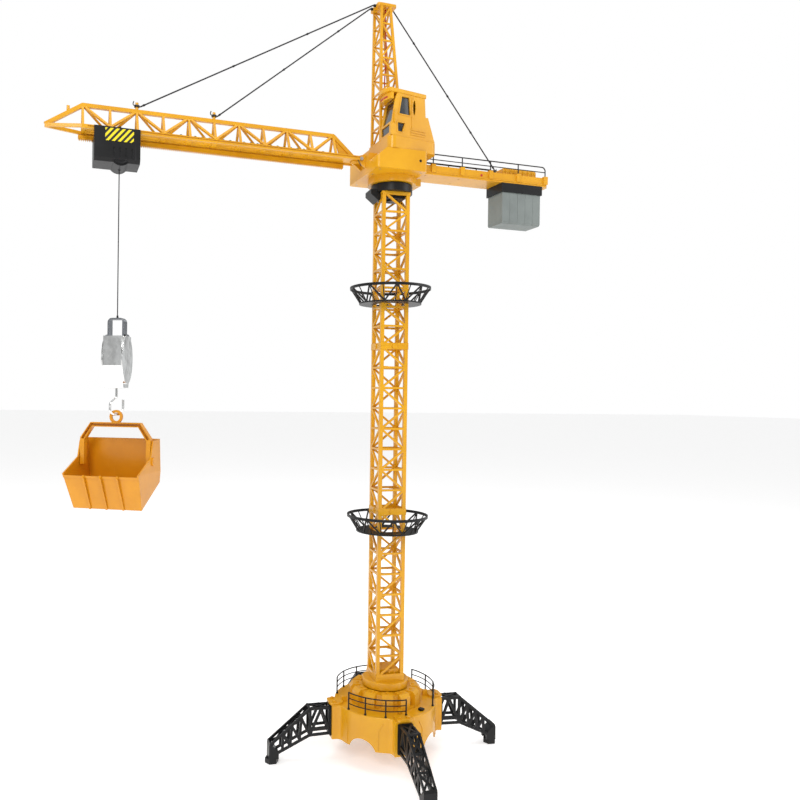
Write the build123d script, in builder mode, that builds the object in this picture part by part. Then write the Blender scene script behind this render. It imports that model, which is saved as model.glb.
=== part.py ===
"""Toy tower crane, about 1.28 m tall: lattice mast on a four-legged base, slewing top with
jib and counter-jib, trolley, hook block and tipping bucket. Millimetres, +Z up, +X along the jib,
origin on the floor under the mast axis."""

import os
from math import atan2, cos, degrees, pi, radians, sin, tan

from build123d import *

os.makedirs("parts", exist_ok=True)

# ---- driving dimensions -------------------------------------------------------------------
gap = 0.3  # between bodies that move past each other
fit = 0.05  # radial clearance of a shaft in its hole

base_turn = -5.0  # the legs and mast stand turned from the jib, degrees
leg_count = 4
socket_reach = 98.0  # mast axis to the face a leg bolts on
socket_width = 34.0
skirt_bottom = 36.0
deck_z = 92.0
deck_radius = 86.0
shell_wall = 2.4
leg_top = 89.0
leg_kink_reach = 135.0
foot_reach = 197.0
leg_width = 21.5
leg_plate = 3.0
foot_pad_radius = 10.0
foot_pad_height = 8.0
drum_radius = 60.0
drum_top = 118.0
collar_radius = 38.5
collar_top = 130.0
bracket_height = 3.2
rail_count = 3
rail_span = 70.0  # degrees of deck edge that one railing guards
rail_height = 28.0
rail_radius = 83.0
rail_wire = 2.0

mast_width = 48.5
mast_foot_z = 136.0
mast_section_height = 280.0
mast_top_z = 956.0
mast_bays = 8
post_size = 6.0
lattice_bar = 3.4
band_height = 11.0
basket_radius = 69.0
basket_floor_radius = 53.0
basket_depth = 29.5
upper_rim_z = 797.5
lower_rim_z = 409.0

ring_radius = 35.0
ring_top = 970.0
gear_module = 1.0
gear_slack = 0.25
slew_gear_teeth = 36
slew_pinion_teeth = 12
housing_bottom = 982.0
housing_front = 54.0
housing_rear = -36.0
housing_half_width = 62.0
housing_wall = 2.4
platform_bottom = 1016.0
platform_top = 1036.0
platform_front = 34.5
platform_rear = -58.0
platform_front_half = 66.0
platform_rear_half = 49.5

cab_front = 32.0
cab_inner_y = 21.0
cab_roof_z = 1106.0
cab_wall = 2.0

head_front = 30.0
head_rear_foot = -12.0
head_rear_top = 14.0
head_half_foot = 18.0
head_half_top = 14.5
head_top_z = 1268.0
head_post = 4.2

jib_pitch = 40.3
jib_nodes = 11
jib_first_node = 109.0
jib_top_z = 1044.0
jib_low_z = 1008.0
jib_half_width = 20.0
jib_root = 67.0
jib_nose = 566.0
jib_bar = 3.6
chord_height = 6.0
rack_tip_z = 996.0
rack_width = 6.0
root_pin_radius = 1.5

counter_length = 262.0
counter_half_width = 24.0
counter_bottom = 991.0
counter_top = 1007.0
counter_rail_height = 19.0
counter_rail_pitch = 56.0
slab_count = 5
slab_thickness = 15.6
slab_height = 66.0
slab_half_width = 23.0
slab_front = -203.0

line_x = 457.0
line_radius = 0.8
trolley_inner = 428.0
trolley_outer = 496.0
trolley_half_width = 26.5
trolley_top = 1006.0
trolley_bottom = 957.0
travel_pinion_teeth = 12
winch_radius = 5.0
block_top = 725.0
block_bottom = 618.0
load_turn = 30.0  # the block and bucket hang turned from the jib, degrees
hook_turn = 20.0
eye_inner = 6.6
bucket_width = 122.0
bucket_wall = 2.2
bucket_pivot_z = 506.0
bail_reach = 58.0
bail_section = 7.0


def finish(name, builder, turn=0.0):
    """Turn a finished piece about the mast axis, label it and write its STEP file."""
    piece = builder.part.rotate(Axis.Z, turn) if turn else builder.part
    piece.label = name
    export_step(piece, f"parts/{name}.step")
    print(name, round(piece.volume))
    return piece


def flat_bars(plane, lines, width, depth):
    """Straight bars between pairs of points of a plane, extruded to one depth."""
    with BuildSketch(plane) as bars:
        for start, end in lines:
            along = Vector(*end) - Vector(*start)
            middle = (Vector(*end) + Vector(*start)) * 0.5
            turn = degrees(atan2(along.Y, along.X))
            with Locations((middle.X, middle.Y)):
                Rectangle(along.length + width, width, rotation=turn)
    extrude(bars.sketch, amount=depth)


def lattice(low_a, low_b, high_b, high_a, bays, width, depth, first=0):
    """Lattice panel inside four corners: a rung at each level and one zigzag between them."""
    low_a, low_b, high_b, high_a = (Vector(*corner) for corner in (low_a, low_b, high_b, high_a))
    across, up = low_b - low_a, high_a - low_a
    face = Plane(origin=low_a, x_dir=across, z_dir=across.cross(up))
    sides = [(low_a, high_a - low_a), (low_b, high_b - low_b)]
    steps = [k / bays for k in range(bays + 1)]
    levels = [[face.to_local_coords(foot + rise * step) for foot, rise in sides] for step in steps]
    lines = [((pair[0].X, pair[0].Y), (pair[1].X, pair[1].Y)) for pair in levels]
    for k in range(bays):
        start, end = levels[k][(k + first) % 2], levels[k + 1][(k + first + 1) % 2]
        lines.append(((start.X, start.Y), (end.X, end.Y)))
    flat_bars(face.offset(-depth / 2), lines, width, depth)


def rod(start, end, radius):
    """Round bar between two points."""
    start, end = Vector(*start), Vector(*end)
    with BuildSketch(Plane(origin=start, z_dir=end - start)) as section:
        Circle(radius)
    extrude(section.sketch, amount=(end - start).length)


def bar(start, end, width, height):
    """Square bar between two points, its width level."""
    start, end = Vector(*start), Vector(*end)
    along = end - start
    level = along.cross(Vector(0, 0, 1)) if along.cross(Vector(0, 0, 1)).length > 1e-6 else Vector(1, 0, 0)
    with BuildSketch(Plane(origin=start, x_dir=level, z_dir=along)) as section:
        Rectangle(width, height)
    extrude(section.sketch, amount=along.length)


def wire_run(points, bends, radius):
    """Round wire along straight runs joined by arcs of the given radii."""
    with BuildLine() as route:
        if bends:
            FilletPolyline(*points, radius=bends)
        else:
            Polyline(*points)
    with BuildSketch(Plane(origin=route.line @ 0, z_dir=route.line % 0)) as section:
        Circle(radius)
    sweep(section.sketch, path=route.line)


def gear_outline(teeth, module, slack, phase=0.0):
    """Gear profile in the sketch in hand: a root disc with a trapezoid tooth at each pitch."""
    pitch_radius = teeth * module / 2
    half_tooth = module * pi / 4 - slack
    lean = tan(radians(20))
    tip = pitch_radius + module * 0.9
    root = pitch_radius - module * 1.2
    Circle(root)
    with PolarLocations(0, teeth, start_angle=phase):
        Polygon(
            (root - 0.5, -half_tooth - lean * module),
            (root + 0.2, -half_tooth - lean * module),
            (tip, -half_tooth + lean * module * 0.9),
            (tip, half_tooth - lean * module * 0.9),
            (root + 0.2, half_tooth + lean * module),
            (root - 0.5, half_tooth + lean * module),
            align=None,
        )


# ---- base ---------------------------------------------------------------------------------
inner_radius = deck_radius - shell_wall
box_half_length, box_half_width, box_floor = 30.0, 27.0, 68.0
cell_radius, cell_length = 7.1, 50.0
with BuildPart() as base_housing:
    with BuildSketch(Plane.XY.offset(skirt_bottom)) as outline:
        Circle(deck_radius)
        with PolarLocations(0, leg_count):
            Rectangle(socket_reach, socket_width, align=(Align.MIN, Align.CENTER))
        fillet(outline.vertices().group_by(lambda v: round(Vector(v.X, v.Y).length))[0], 9)
    extrude(amount=deck_z - skirt_bottom)
    fillet(base_housing.faces().sort_by(Axis.Z)[-1].edges(), 1.6)
    with BuildSketch(Plane.XY.offset(skirt_bottom)):
        Circle(inner_radius)
        with PolarLocations(0, leg_count):
            Rectangle(
                socket_reach - shell_wall,
                socket_width - 2 * shell_wall,
                align=(Align.MIN, Align.CENTER),
            )
    extrude(amount=deck_z - shell_wall - skirt_bottom, mode=Mode.SUBTRACT)
    for k in range(leg_count):  # arches in the lower edge between the legs
        out = Vector(1, 0, 0).rotate(Axis.Z, 45 + 90 * k)
        with BuildSketch(Plane(origin=out * 60 + Vector(0, 0, skirt_bottom - 8), z_dir=out)):
            Circle(25)
        extrude(amount=socket_reach - 60, mode=Mode.SUBTRACT)
    switch_spot = Vector(74, 0, 0).rotate(Axis.Z, 125)
    with BuildSketch(Plane.XY.offset(deck_z)):
        with Locations((switch_spot.X, switch_spot.Y)):
            Rectangle(5.6, 10, rotation=125)
    extrude(amount=-shell_wall, mode=Mode.SUBTRACT)
    with BuildSketch(Plane.XY.offset(deck_z)):  # bracket plates over the sockets
        with PolarLocations(0, leg_count):
            with Locations((socket_reach - 9, 0)):
                RectangleRounded(24, 26, 5)
    extrude(amount=bracket_height)
    with BuildSketch(Plane.XY.offset(deck_z)):
        with PolarLocations(0, leg_count):
            with Locations((socket_reach - 25, 0)):
                Rectangle(9, 5)
    extrude(amount=9)
    for k in range(leg_count):  # raised seams down the skirt beside each socket
        for side in (-1, 1):
            out = Vector(1, 0, 0).rotate(Axis.Z, 90 * k + side * 26)
            foot = out * (deck_radius - 0.8) + Vector(0, 0, skirt_bottom)
            seam = Plane(origin=foot, x_dir=(-out.Y, out.X, 0), z_dir=out)
            flat_bars(seam, [((0, 4), (0, 34)), ((0, 34), (-7 * side, 46))], 1.6, 1.6)
    with BuildSketch(Plane.XY.offset(box_floor)):  # battery compartment walls
        Rectangle(2 * box_half_length, 2 * box_half_width)
        Rectangle(2 * box_half_length - 4, 2 * box_half_width - 4, mode=Mode.SUBTRACT)
    extrude(amount=deck_z - shell_wall - box_floor)
finish("base_housing", base_housing, base_turn)

with BuildPart() as batteries:
    for row in (-1, 0, 1):
        with BuildSketch(Plane(origin=(-cell_length / 2, row * (2 * cell_radius + 1), 79), z_dir=(1, 0, 0))):
            Circle(cell_radius)
        extrude(amount=cell_length)
finish("batteries", batteries, base_turn)

with BuildPart() as battery_door:
    with BuildSketch(Plane.XY.offset(box_floor - 2.4)):
        RectangleRounded(2 * box_half_length + 4, 2 * box_half_width + 4, 4)
    extrude(amount=2.4)
    with BuildSketch(Plane.XY.offset(box_floor - 2.4)):
        with GridLocations(0, 5, 1, 3):
            Rectangle(24, 2)
    extrude(amount=-1.2)
finish("battery_door", battery_door, base_turn)

with BuildPart() as power_switch:
    with BuildSketch(Plane.XY.offset(deck_z + gap)):
        with Locations((switch_spot.X, switch_spot.Y)):
            Rectangle(8, 7, rotation=125)
    extrude(amount=3)
    with BuildSketch(Plane.XY.offset(deck_z + gap)):
        with Locations((switch_spot.X, switch_spot.Y)):
            Rectangle(5, 5, rotation=125)
    extrude(amount=-7)
finish("power_switch", power_switch, base_turn)

block_count = 12
plug_half = mast_width / 2 - post_size - gap
with BuildPart() as base_drum:
    with BuildSketch(Plane.XY.offset(deck_z)):
        Circle(drum_radius - 7)
    extrude(amount=drum_top - 2 - deck_z)
    with BuildSketch(Plane.XY.offset(deck_z)):
        with PolarLocations(0, block_count, start_angle=15):
            with Locations((drum_radius - 9, 0)):
                Rectangle(18, 19)
    extrude(amount=drum_top - deck_z)
    with BuildSketch(Plane.XY.offset(deck_z)):
        Circle(drum_radius)
    extrude(amount=4)
    rim = base_drum.faces().filter_by(Axis.Z).group_by(Axis.Z)[-1].edges()
    outer_edges = rim.filter_by(lambda e: Vector(*tuple(e.center())[:2]).length > drum_radius - 1)
    chamfer(outer_edges, 5)
    with BuildSketch(Plane.XY.offset(drum_top)):  # bolt heads on the blocks
        with PolarLocations(drum_radius - 12.5, block_count, start_angle=15):
            RegularPolygon(3.0, 6)
    extrude(amount=1.8)
finish("base_drum", base_drum, base_turn)

with BuildPart() as mast_collar:
    with BuildSketch(Plane.XY.offset(drum_top)):
        Circle(collar_radius)
    extrude(amount=collar_top - drum_top)
    fillet(mast_collar.edges().filter_by(GeomType.CIRCLE).sort_by(Axis.Z)[-1], 1.2)
    with BuildSketch(Plane.XY.offset(collar_top)):
        Rectangle(mast_width + 2, mast_width + 2)
    extrude(amount=mast_foot_z - collar_top)
    with BuildSketch(Plane.XY.offset(mast_foot_z)):
        Rectangle(2 * plug_half, 2 * plug_half)
    extrude(amount=12)
    with BuildSketch(Plane.XY.offset(mast_foot_z)):
        for turn in (0, 90):
            for shift in (-9, 0, 9):
                with Locations((shift, 0) if turn else (0, shift)):
                    Rectangle(mast_width - 2 * lattice_bar - 2 * gap, 1.6, rotation=turn)
    extrude(amount=9)
finish("mast_collar", mast_collar, base_turn)

with BuildPart() as leg:
    top, low = leg_top - 2.5, 44.0
    side_lines = [
        ((socket_reach + 2.5, top), (leg_kink_reach, top)),
        ((leg_kink_reach, top), (foot_reach + 3, 33)),
        ((socket_reach + 2.5, low), (leg_kink_reach, low - 1)),
        ((leg_kink_reach, low - 1), (foot_reach - 8, 18)),
        ((socket_reach + 2.5, low), (socket_reach + 2.5, top)),
        ((leg_kink_reach - 1, low), (leg_kink_reach - 1, top)),
        ((socket_reach + 3, low + 4), (socket_reach + 17, top)),
        ((socket_reach + 17, top), (leg_kink_reach - 1, low)),
        ((leg_kink_reach, low), (149, 73)),
        ((149, 73), (152, 37)),
        ((152, 37), (165, 60)),
        ((165, 60), (168, 28)),
        ((168, 28), (180, 47)),
        ((180, 47), (181, 22)),
        ((socket_reach + 2, 54), (leg_kink_reach - 8, 53)),
    ]
    for side in (-1, 1):
        edge = side * leg_width / 2
        flat_bars(Plane(origin=(0, edge, 0), x_dir=(1, 0, 0), z_dir=(0, -side, 0)) if side > 0
                  else Plane(origin=(0, edge + leg_plate, 0), x_dir=(1, 0, 0), z_dir=(0, -1, 0)),
                  side_lines, 4.2, leg_plate)
    brace_half = leg_width / 2 - leg_plate / 2
    flat_bars(
        Plane.XY.offset(leg_top - 3.4),
        [
            ((socket_reach + 2, -brace_half), (leg_kink_reach, brace_half)),
            ((socket_reach + 2, brace_half), (leg_kink_reach, -brace_half)),
            ((socket_reach + 1.8, -brace_half), (socket_reach + 1.8, brace_half)),
            ((leg_kink_reach, -brace_half), (leg_kink_reach, brace_half)),
        ],
        3.2, 3.0,
    )
    slope = Vector(foot_reach + 3 - leg_kink_reach, 0, 33 - top)
    run = slope.length
    off_slope = slope.cross(Vector(0, 1, 0)) * -1
    slope_plane = Plane(origin=(leg_kink_reach, 0, top - 1.4), x_dir=slope, z_dir=off_slope)
    crosses = []
    for k in range(3):
        near, far = run * k / 3, run * (k + 1) / 3
        crosses += [((near, -brace_half), (far, brace_half)), ((near, brace_half), (far, -brace_half))]
        crosses += [((far, -brace_half), (far, brace_half))]
    flat_bars(slope_plane, crosses, 3.2, 3.0)
    with BuildSketch(Plane.XZ.offset(-leg_width / 2)):  # end post over the foot
        Polygon((foot_reach - 10, foot_pad_height), (foot_reach - 10, 20), (foot_reach + 5, 35),
                (foot_reach + 6.5, 30), (foot_reach + 6.5, foot_pad_height), align=None)
    extrude(amount=leg_width)
    with BuildSketch(Plane.YZ.offset(foot_reach - 12)):  # arch through the post's inner face
        with Locations((0, foot_pad_height)):
            Circle(6)
    extrude(amount=9, mode=Mode.SUBTRACT)
    with BuildSketch(Plane.YZ.offset(socket_reach)):  # flange against the socket
        with Locations((0, (skirt_bottom + leg_top) / 2 + 2)):
            RectangleRounded(leg_width + 4, leg_top - skirt_bottom - 4, 2)
    extrude(amount=2.4)
    with BuildSketch(Plane.YZ.offset(socket_reach)):
        Rectangle(3 * leg_width, 3 * leg_top)
    extrude(amount=-20, mode=Mode.SUBTRACT)
for k in range(leg_count):
    finish(f"leg_{k + 1}", leg, base_turn + 90 * k)

with BuildPart() as foot_pads:
    with BuildSketch():
        with PolarLocations(foot_reach, leg_count):
            RegularPolygon(foot_pad_radius + 1.5, 6)
    extrude(amount=foot_pad_height)
    chamfer(foot_pads.faces().sort_by(Axis.Z)[-1].edges(), 1.5)
finish("foot_pads", foot_pads, base_turn)

with BuildPart() as base_bolts:
    with BuildSketch(Plane.XY.offset(deck_z + bracket_height)):
        with PolarLocations(0, leg_count):
            with Locations((socket_reach - 6, -7), (socket_reach - 6, 7)):
                RegularPolygon(3.4, 6)
    extrude(amount=2.6)
finish("base_bolts", base_bolts, base_turn)

with BuildPart() as deck_railings:
    for k in range(rail_count):
        first_post = 60 + 360 / rail_count * k - rail_span / 2
        foot = Vector(rail_radius, 0, deck_z).rotate(Axis.Z, first_post)
        along = Vector(0, 1, 0).rotate(Axis.Z, first_post)
        for level, wire in ((0.36, 0.8), (0.68, 0.8), (1.0, 1.0)):
            with BuildSketch(Plane(origin=foot + Vector(0, 0, rail_height * level), z_dir=along)):
                Circle(rail_wire / 2 * wire)
            revolve(axis=Axis.Z, revolution_arc=rail_span)
        for step in range(4):
            turn = rail_span * step / 3
            from_socket = abs((first_post + turn + 45) % 90 - 45)
            lift = bracket_height if from_socket < 10 else 0
            spot = foot.rotate(Axis.Z, turn) + Vector(0, 0, lift)
            rod(spot, spot + Vector(0, 0, rail_height + 0.8 - lift), rail_wire / 2 + 0.2)
            rod(spot, spot + Vector(0, 0, 2), rail_wire)
finish("deck_railings", deck_railings, base_turn)


# ---- mast ---------------------------------------------------------------------------------
half_mast = mast_width / 2
joint_levels = [mast_foot_z + mast_section_height * k for k in range(3)] + [mast_top_z]
for name, low, high in zip(("mast_lower", "mast_middle", "mast_upper"), joint_levels, joint_levels[1:]):
    with BuildPart() as section:
        with BuildSketch(Plane.XY.offset(low)):
            with GridLocations(mast_width - post_size, mast_width - post_size, 2, 2):
                Rectangle(post_size, post_size)
        extrude(amount=high - low)
        for k in range(4):
            out = Vector(half_mast - lattice_bar / 2, 0, 0).rotate(Axis.Z, 90 * k)
            side = Vector(0, half_mast - post_size / 2, 0).rotate(Axis.Z, 90 * k)
            foot, top = Vector(0, 0, low + lattice_bar / 2), Vector(0, 0, high - lattice_bar / 2)
            lattice(out - side + foot, out + side + foot, out + side + top, out - side + top,
                    mast_bays, lattice_bar, lattice_bar, first=(k + 1) % 2)
        for level in (low, high - band_height / 2):
            with BuildSketch(Plane.XY.offset(level)):
                Rectangle(mast_width + 1.2, mast_width + 1.2)
                Rectangle(mast_width - 2 * lattice_bar, mast_width - 2 * lattice_bar, mode=Mode.SUBTRACT)
            extrude(amount=band_height / 2)
        inner = half_mast - lattice_bar
        for k in range(1, mast_bays, 2):  # corner gussets
            with BuildSketch(Plane.XY.offset(low + (high - low) * k / mast_bays - 1)):
                with PolarLocations(0, 4):
                    Polygon((inner, inner), (inner - 11, inner), (inner, inner - 11), align=None)
            extrude(amount=2)
        with BuildSketch(Plane.XY.offset(low)):
            Rectangle(2 * mast_width, 2 * mast_width)
        extrude(amount=high - low, mode=Mode.INTERSECT)
        if low > mast_foot_z:  # latches reach down over the section below
            for k in range(4):
                out = Vector(1, 0, 0).rotate(Axis.Z, 90 * k)
                on_band = out * (half_mast + 0.6) + Vector(0, 0, low)
                with BuildSketch(Plane(origin=on_band, x_dir=(0, 0, 1), z_dir=out)):
                    RectangleRounded(9, 8, 1.5)
                extrude(amount=1.4)
    finish(name, section, base_turn)

for name, rim_z in (("basket_lower", lower_rim_z), ("basket_upper", upper_rim_z)):
    floor_z = rim_z - basket_depth
    with BuildPart() as basket:
        with BuildSketch(Plane.XY.offset(floor_z)):
            Circle(basket_floor_radius)
            Rectangle(mast_width, mast_width, mode=Mode.SUBTRACT)
        extrude(amount=2.4)
        with BuildSketch(Plane.XY.offset(rim_z - 4.5)):
            Circle(basket_radius)
            Circle(basket_radius - 2, mode=Mode.SUBTRACT)
        extrude(amount=4.5)
        for k in range(18):
            foot = Vector(basket_floor_radius - 2, 0, floor_z + 1.5).rotate(Axis.Z, 20 * k)
            head = Vector(basket_radius - 1.2, 0, rim_z - 2)
            rod(foot, head.rotate(Axis.Z, 20 * k), 0.9)
            if k % 2:
                for turn in (20 * k - 20, 20 * k + 20):
                    rod(foot, head.rotate(Axis.Z, turn), 1.4)
    finish(name, basket, base_turn)

spindle_radius = 6.0
with BuildPart() as slew_ring:
    with BuildSketch(Plane.XY.offset(mast_top_z)):
        Circle(ring_radius)
    extrude(amount=ring_top - mast_top_z)
    fillet(slew_ring.edges().sort_by(Axis.Z)[-1], 1)
    with BuildSketch(Plane.XY.offset(mast_top_z - 10)):
        Rectangle(2 * plug_half, 2 * plug_half)
    extrude(amount=10)
    with BuildSketch(Plane.XZ.offset(-15)):  # tongue hanging outside the mast's front face
        Polygon(
            (half_mast + 0.8, mast_top_z + 4),
            (half_mast + 0.8, mast_top_z - 13),
            (half_mast + 4, mast_top_z - 15),
            (42, mast_top_z - 4),
            (42, mast_top_z + 4),
            align=None,
        )
    extrude(amount=30)
    with BuildSketch(Plane.XY.offset(ring_top)):
        Circle(spindle_radius + fit)
    extrude(amount=mast_top_z - 10 - ring_top, mode=Mode.SUBTRACT)
finish("slew_ring", slew_ring, base_turn)

gear_height = 9.5
with BuildPart() as slew_gear:
    with BuildSketch(Plane.XY.offset(ring_top)):
        gear_outline(slew_gear_teeth, gear_module, gear_slack)
        Circle(spindle_radius + fit, mode=Mode.SUBTRACT)
    extrude(amount=gear_height)
finish("slew_gear", slew_gear)

# ---- turntable ----------------------------------------------------------------------------
drum_bottom = ring_top + gap
pinion_reach = (slew_gear_teeth + slew_pinion_teeth) * gear_module / 2
pinion_radius = slew_pinion_teeth * gear_module / 2
shaft_radius = 1.5
floor_top = housing_bottom + housing_wall
with BuildPart() as turntable_drum:
    with BuildSketch(Plane.XY.offset(drum_bottom)):
        Circle(41)
        with Locations((-37, 0)):
            Rectangle(16, 40)
    extrude(amount=housing_bottom - drum_bottom)
    with BuildSketch(Plane.XY.offset(drum_bottom)):
        Circle(slew_gear_teeth * gear_module / 2 + 2)
        with Locations((-pinion_reach, 0)):
            Circle(pinion_radius + 1.6)
    extrude(amount=ring_top + gear_height + gap - drum_bottom, mode=Mode.SUBTRACT)
    with BuildSketch(Plane.XY.offset(housing_bottom)):
        Circle(spindle_radius)
        with Locations((-pinion_reach, 0)):
            Circle(shaft_radius + fit)
    extrude(amount=drum_bottom - housing_bottom, mode=Mode.SUBTRACT)
finish("turntable_drum", turntable_drum)

with BuildPart() as slew_spindle:
    with BuildSketch(Plane.XY.offset(mast_top_z - 10 - gap)):
        Circle(spindle_radius)
    extrude(amount=housing_bottom - mast_top_z + 10 + gap)
    with BuildSketch(Plane.XY.offset(mast_top_z - 10 - gap)):
        Circle(spindle_radius + 4)
    extrude(amount=-2)
finish("slew_spindle", slew_spindle)

with BuildPart() as slew_pinion:
    with BuildSketch(Plane.XY.offset(ring_top + gap)):
        with Locations((-pinion_reach, 0)):
            gear_outline(slew_pinion_teeth, gear_module, gear_slack, phase=180 / slew_pinion_teeth)
    extrude(amount=gear_height - gap)
    with BuildSketch(Plane.XY.offset(ring_top + gap)):
        with Locations((-pinion_reach, 0)):
            Circle(shaft_radius)
    extrude(amount=26)
finish("slew_pinion", slew_pinion)

with BuildPart() as turntable_housing:
    with BuildSketch(Plane.XY.offset(housing_bottom)):
        with Locations(((housing_front + housing_rear) / 2, 0)):
            RectangleRounded(housing_front - housing_rear, 2 * housing_half_width, 5)
    extrude(amount=platform_bottom - housing_bottom)
    with BuildSketch(Plane.XZ.offset(-housing_half_width)):  # sloping top of the near front corner
        Polygon(
            (housing_front, platform_bottom),
            (housing_front, platform_bottom - 15),
            (housing_front - 17, platform_bottom),
            align=None,
        )
    extrude(amount=housing_half_width - 24, mode=Mode.SUBTRACT)
    with BuildSketch(Plane.XY.offset(floor_top)):
        with Locations(((platform_front + housing_rear) / 2, 0)):
            Rectangle(
                platform_front - housing_rear - 2 * housing_wall,
                2 * (housing_half_width - housing_wall),
            )
    extrude(amount=platform_bottom - floor_top, mode=Mode.SUBTRACT)
    with BuildSketch(Plane.XY.offset(floor_top)):
        with Locations((-pinion_reach, 0)):
            Circle(shaft_radius + fit)
    extrude(amount=-housing_wall, mode=Mode.SUBTRACT)
    with BuildSketch(Plane.XY.offset(housing_bottom)):  # screw pockets in the underside
        with Locations((44, 50), (44, -50), (44, 20), (-28, 52), (-28, -52)):
            Circle(2.2)
    extrude(amount=2, mode=Mode.SUBTRACT)
    with BuildSketch(Plane.XZ.offset(-housing_half_width)):
        with Locations((-23, 999)):
            Circle(2.4)
    extrude(amount=housing_wall - 0.6, mode=Mode.SUBTRACT)
finish("turntable_housing", turntable_housing)

with BuildPart() as slew_motor:
    with BuildSketch(Plane.XY.offset(floor_top)):
        with Locations((-pinion_reach + 10, 0)):
            RectangleRounded(38, 22, 3)
    extrude(amount=14)
    with BuildSketch(Plane.XY.offset(floor_top + 14)):
        with Locations((-pinion_reach + 18, 0)):
            Circle(8)
    extrude(amount=14)
    with BuildSketch(Plane.XY.offset(floor_top)):
        with Locations((-pinion_reach, 0)):
            Circle(shaft_radius + fit)
    extrude(amount=13, mode=Mode.SUBTRACT)
finish("slew_motor", slew_motor)

with BuildPart() as circuit_board:
    with BuildSketch(Plane.XY.offset(floor_top)):
        with GridLocations(30, 24, 2, 2):
            with Locations((2, -38)):
                Circle(2)
    extrude(amount=5)
    with BuildSketch(Plane.XY.offset(floor_top + 5)):
        with Locations((2, -38)):
            Rectangle(42, 34)
    extrude(amount=1.6)
    with BuildSketch(Plane.XY.offset(floor_top + 6.6)):
        with Locations((0, -38)):
            Rectangle(12, 12)
        with Locations((14, -30), (-14, -46)):
            Rectangle(6, 4)
    extrude(amount=2.2)
finish("circuit_board", circuit_board)

taper = degrees(atan2(platform_front_half - platform_rear_half, platform_front - platform_rear))
with BuildPart() as platform:
    with BuildSketch(Plane.XY.offset(platform_bottom)) as outline:
        Polygon((platform_front, platform_front_half), (platform_rear, platform_rear_half),
                (platform_rear, -platform_rear_half), (platform_front, -platform_front_half), align=None)
        fillet(outline.vertices(), 10)
    extrude(amount=platform_top - platform_bottom)
    fillet(platform.faces().sort_by(Axis.Z)[-1].edges(), 1.2)
    with BuildSketch(Plane.XY.offset(platform_bottom)):
        with Locations(((platform_front + housing_rear) / 2, 0)):
            Rectangle(platform_front - housing_rear - 8, 2 * platform_rear_half)
    extrude(amount=platform_top - platform_bottom - housing_wall, mode=Mode.SUBTRACT)
finish("turntable_platform", platform)

# ---- cab ----------------------------------------------------------------------------------
cab_outer_y = 64.0
side_plane = Plane(
    origin=(cab_front, cab_outer_y, 0),
    x_dir=(-cos(radians(taper)), -sin(radians(taper)), 0),
    z_dir=(-sin(radians(taper)), cos(radians(taper)), 0),
)
cab_profile = [(0, platform_top), (-1, 1053), (0.5, 1057), (2.8, 1070), (6.7, 1093), (11, cab_roof_z),
               (66, cab_roof_z), (68, 1075), (73, 1075), (87, platform_top)]
cab_outline = [(cab_front - u, z) for u, z in cab_profile]
with BuildPart() as cab_hollow:
    with BuildSketch(Plane.XZ.offset(-cab_inner_y - cab_wall)):
        Polygon(*cab_outline, align=None)
        offset(amount=-cab_wall, mode=Mode.REPLACE)
    extrude(amount=-60)
    with BuildSketch(side_plane.offset(-cab_wall)):
        Rectangle(400, 3000)
    extrude(amount=60, mode=Mode.SUBTRACT)
with BuildPart() as cab_shell:
    with BuildSketch(Plane.XZ.offset(-cab_inner_y)):
        Polygon(*cab_outline, align=None)
    extrude(amount=-60)
    with BuildSketch(side_plane):
        Rectangle(400, 3000)
    extrude(amount=60, mode=Mode.SUBTRACT)
    add(cab_hollow.part, mode=Mode.SUBTRACT)
    side_windows = [
        [(20.5, 1101), (35, 1101), (38, 1072.5), (15.5, 1072.5)],
        [(12.5, 1058), (27, 1058), (22, 1043), (13.5, 1043)],
    ]
    with BuildSketch(side_plane.offset(1)):
        for outline in side_windows:
            Polygon(*outline, align=None)
        with Locations((46, 1087)):
            Ellipse(2.5, 12)
    extrude(amount=-cab_wall - 2, mode=Mode.SUBTRACT)
    with BuildSketch(Plane.YZ.offset(cab_front + 3)):
        Polygon((60, 1095), (31, 1095), (28, 1058.5), (62, 1058.5), align=None)
        Polygon((59, 1055), (27, 1055), (27, 1041), (57, 1041), align=None)
    extrude(amount=-15, mode=Mode.SUBTRACT)
    for k in range(3):  # louvres
        with BuildSketch(side_plane):
            with Locations((54, 1042.5 + 4 * k)):
                RectangleRounded(30, 2.2, 1)
        extrude(amount=0.9)
    for outline in side_windows:  # raised window frames
        with BuildSketch(side_plane):
            Polygon(*outline, align=None)
            offset(amount=2, mode=Mode.ADD)
            Polygon(*outline, align=None, mode=Mode.SUBTRACT)
        extrude(amount=0.8)
    with BuildSketch(side_plane):  # door post
        with Locations((41.5, 1078)):
            Rectangle(2, 52)
    extrude(amount=1)
    with BuildSketch(side_plane):
        with Locations((6, 1067)):
            RectangleRounded(2, 22, 0.9)
    extrude(amount=2)
finish("cab_shell", cab_shell)

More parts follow.
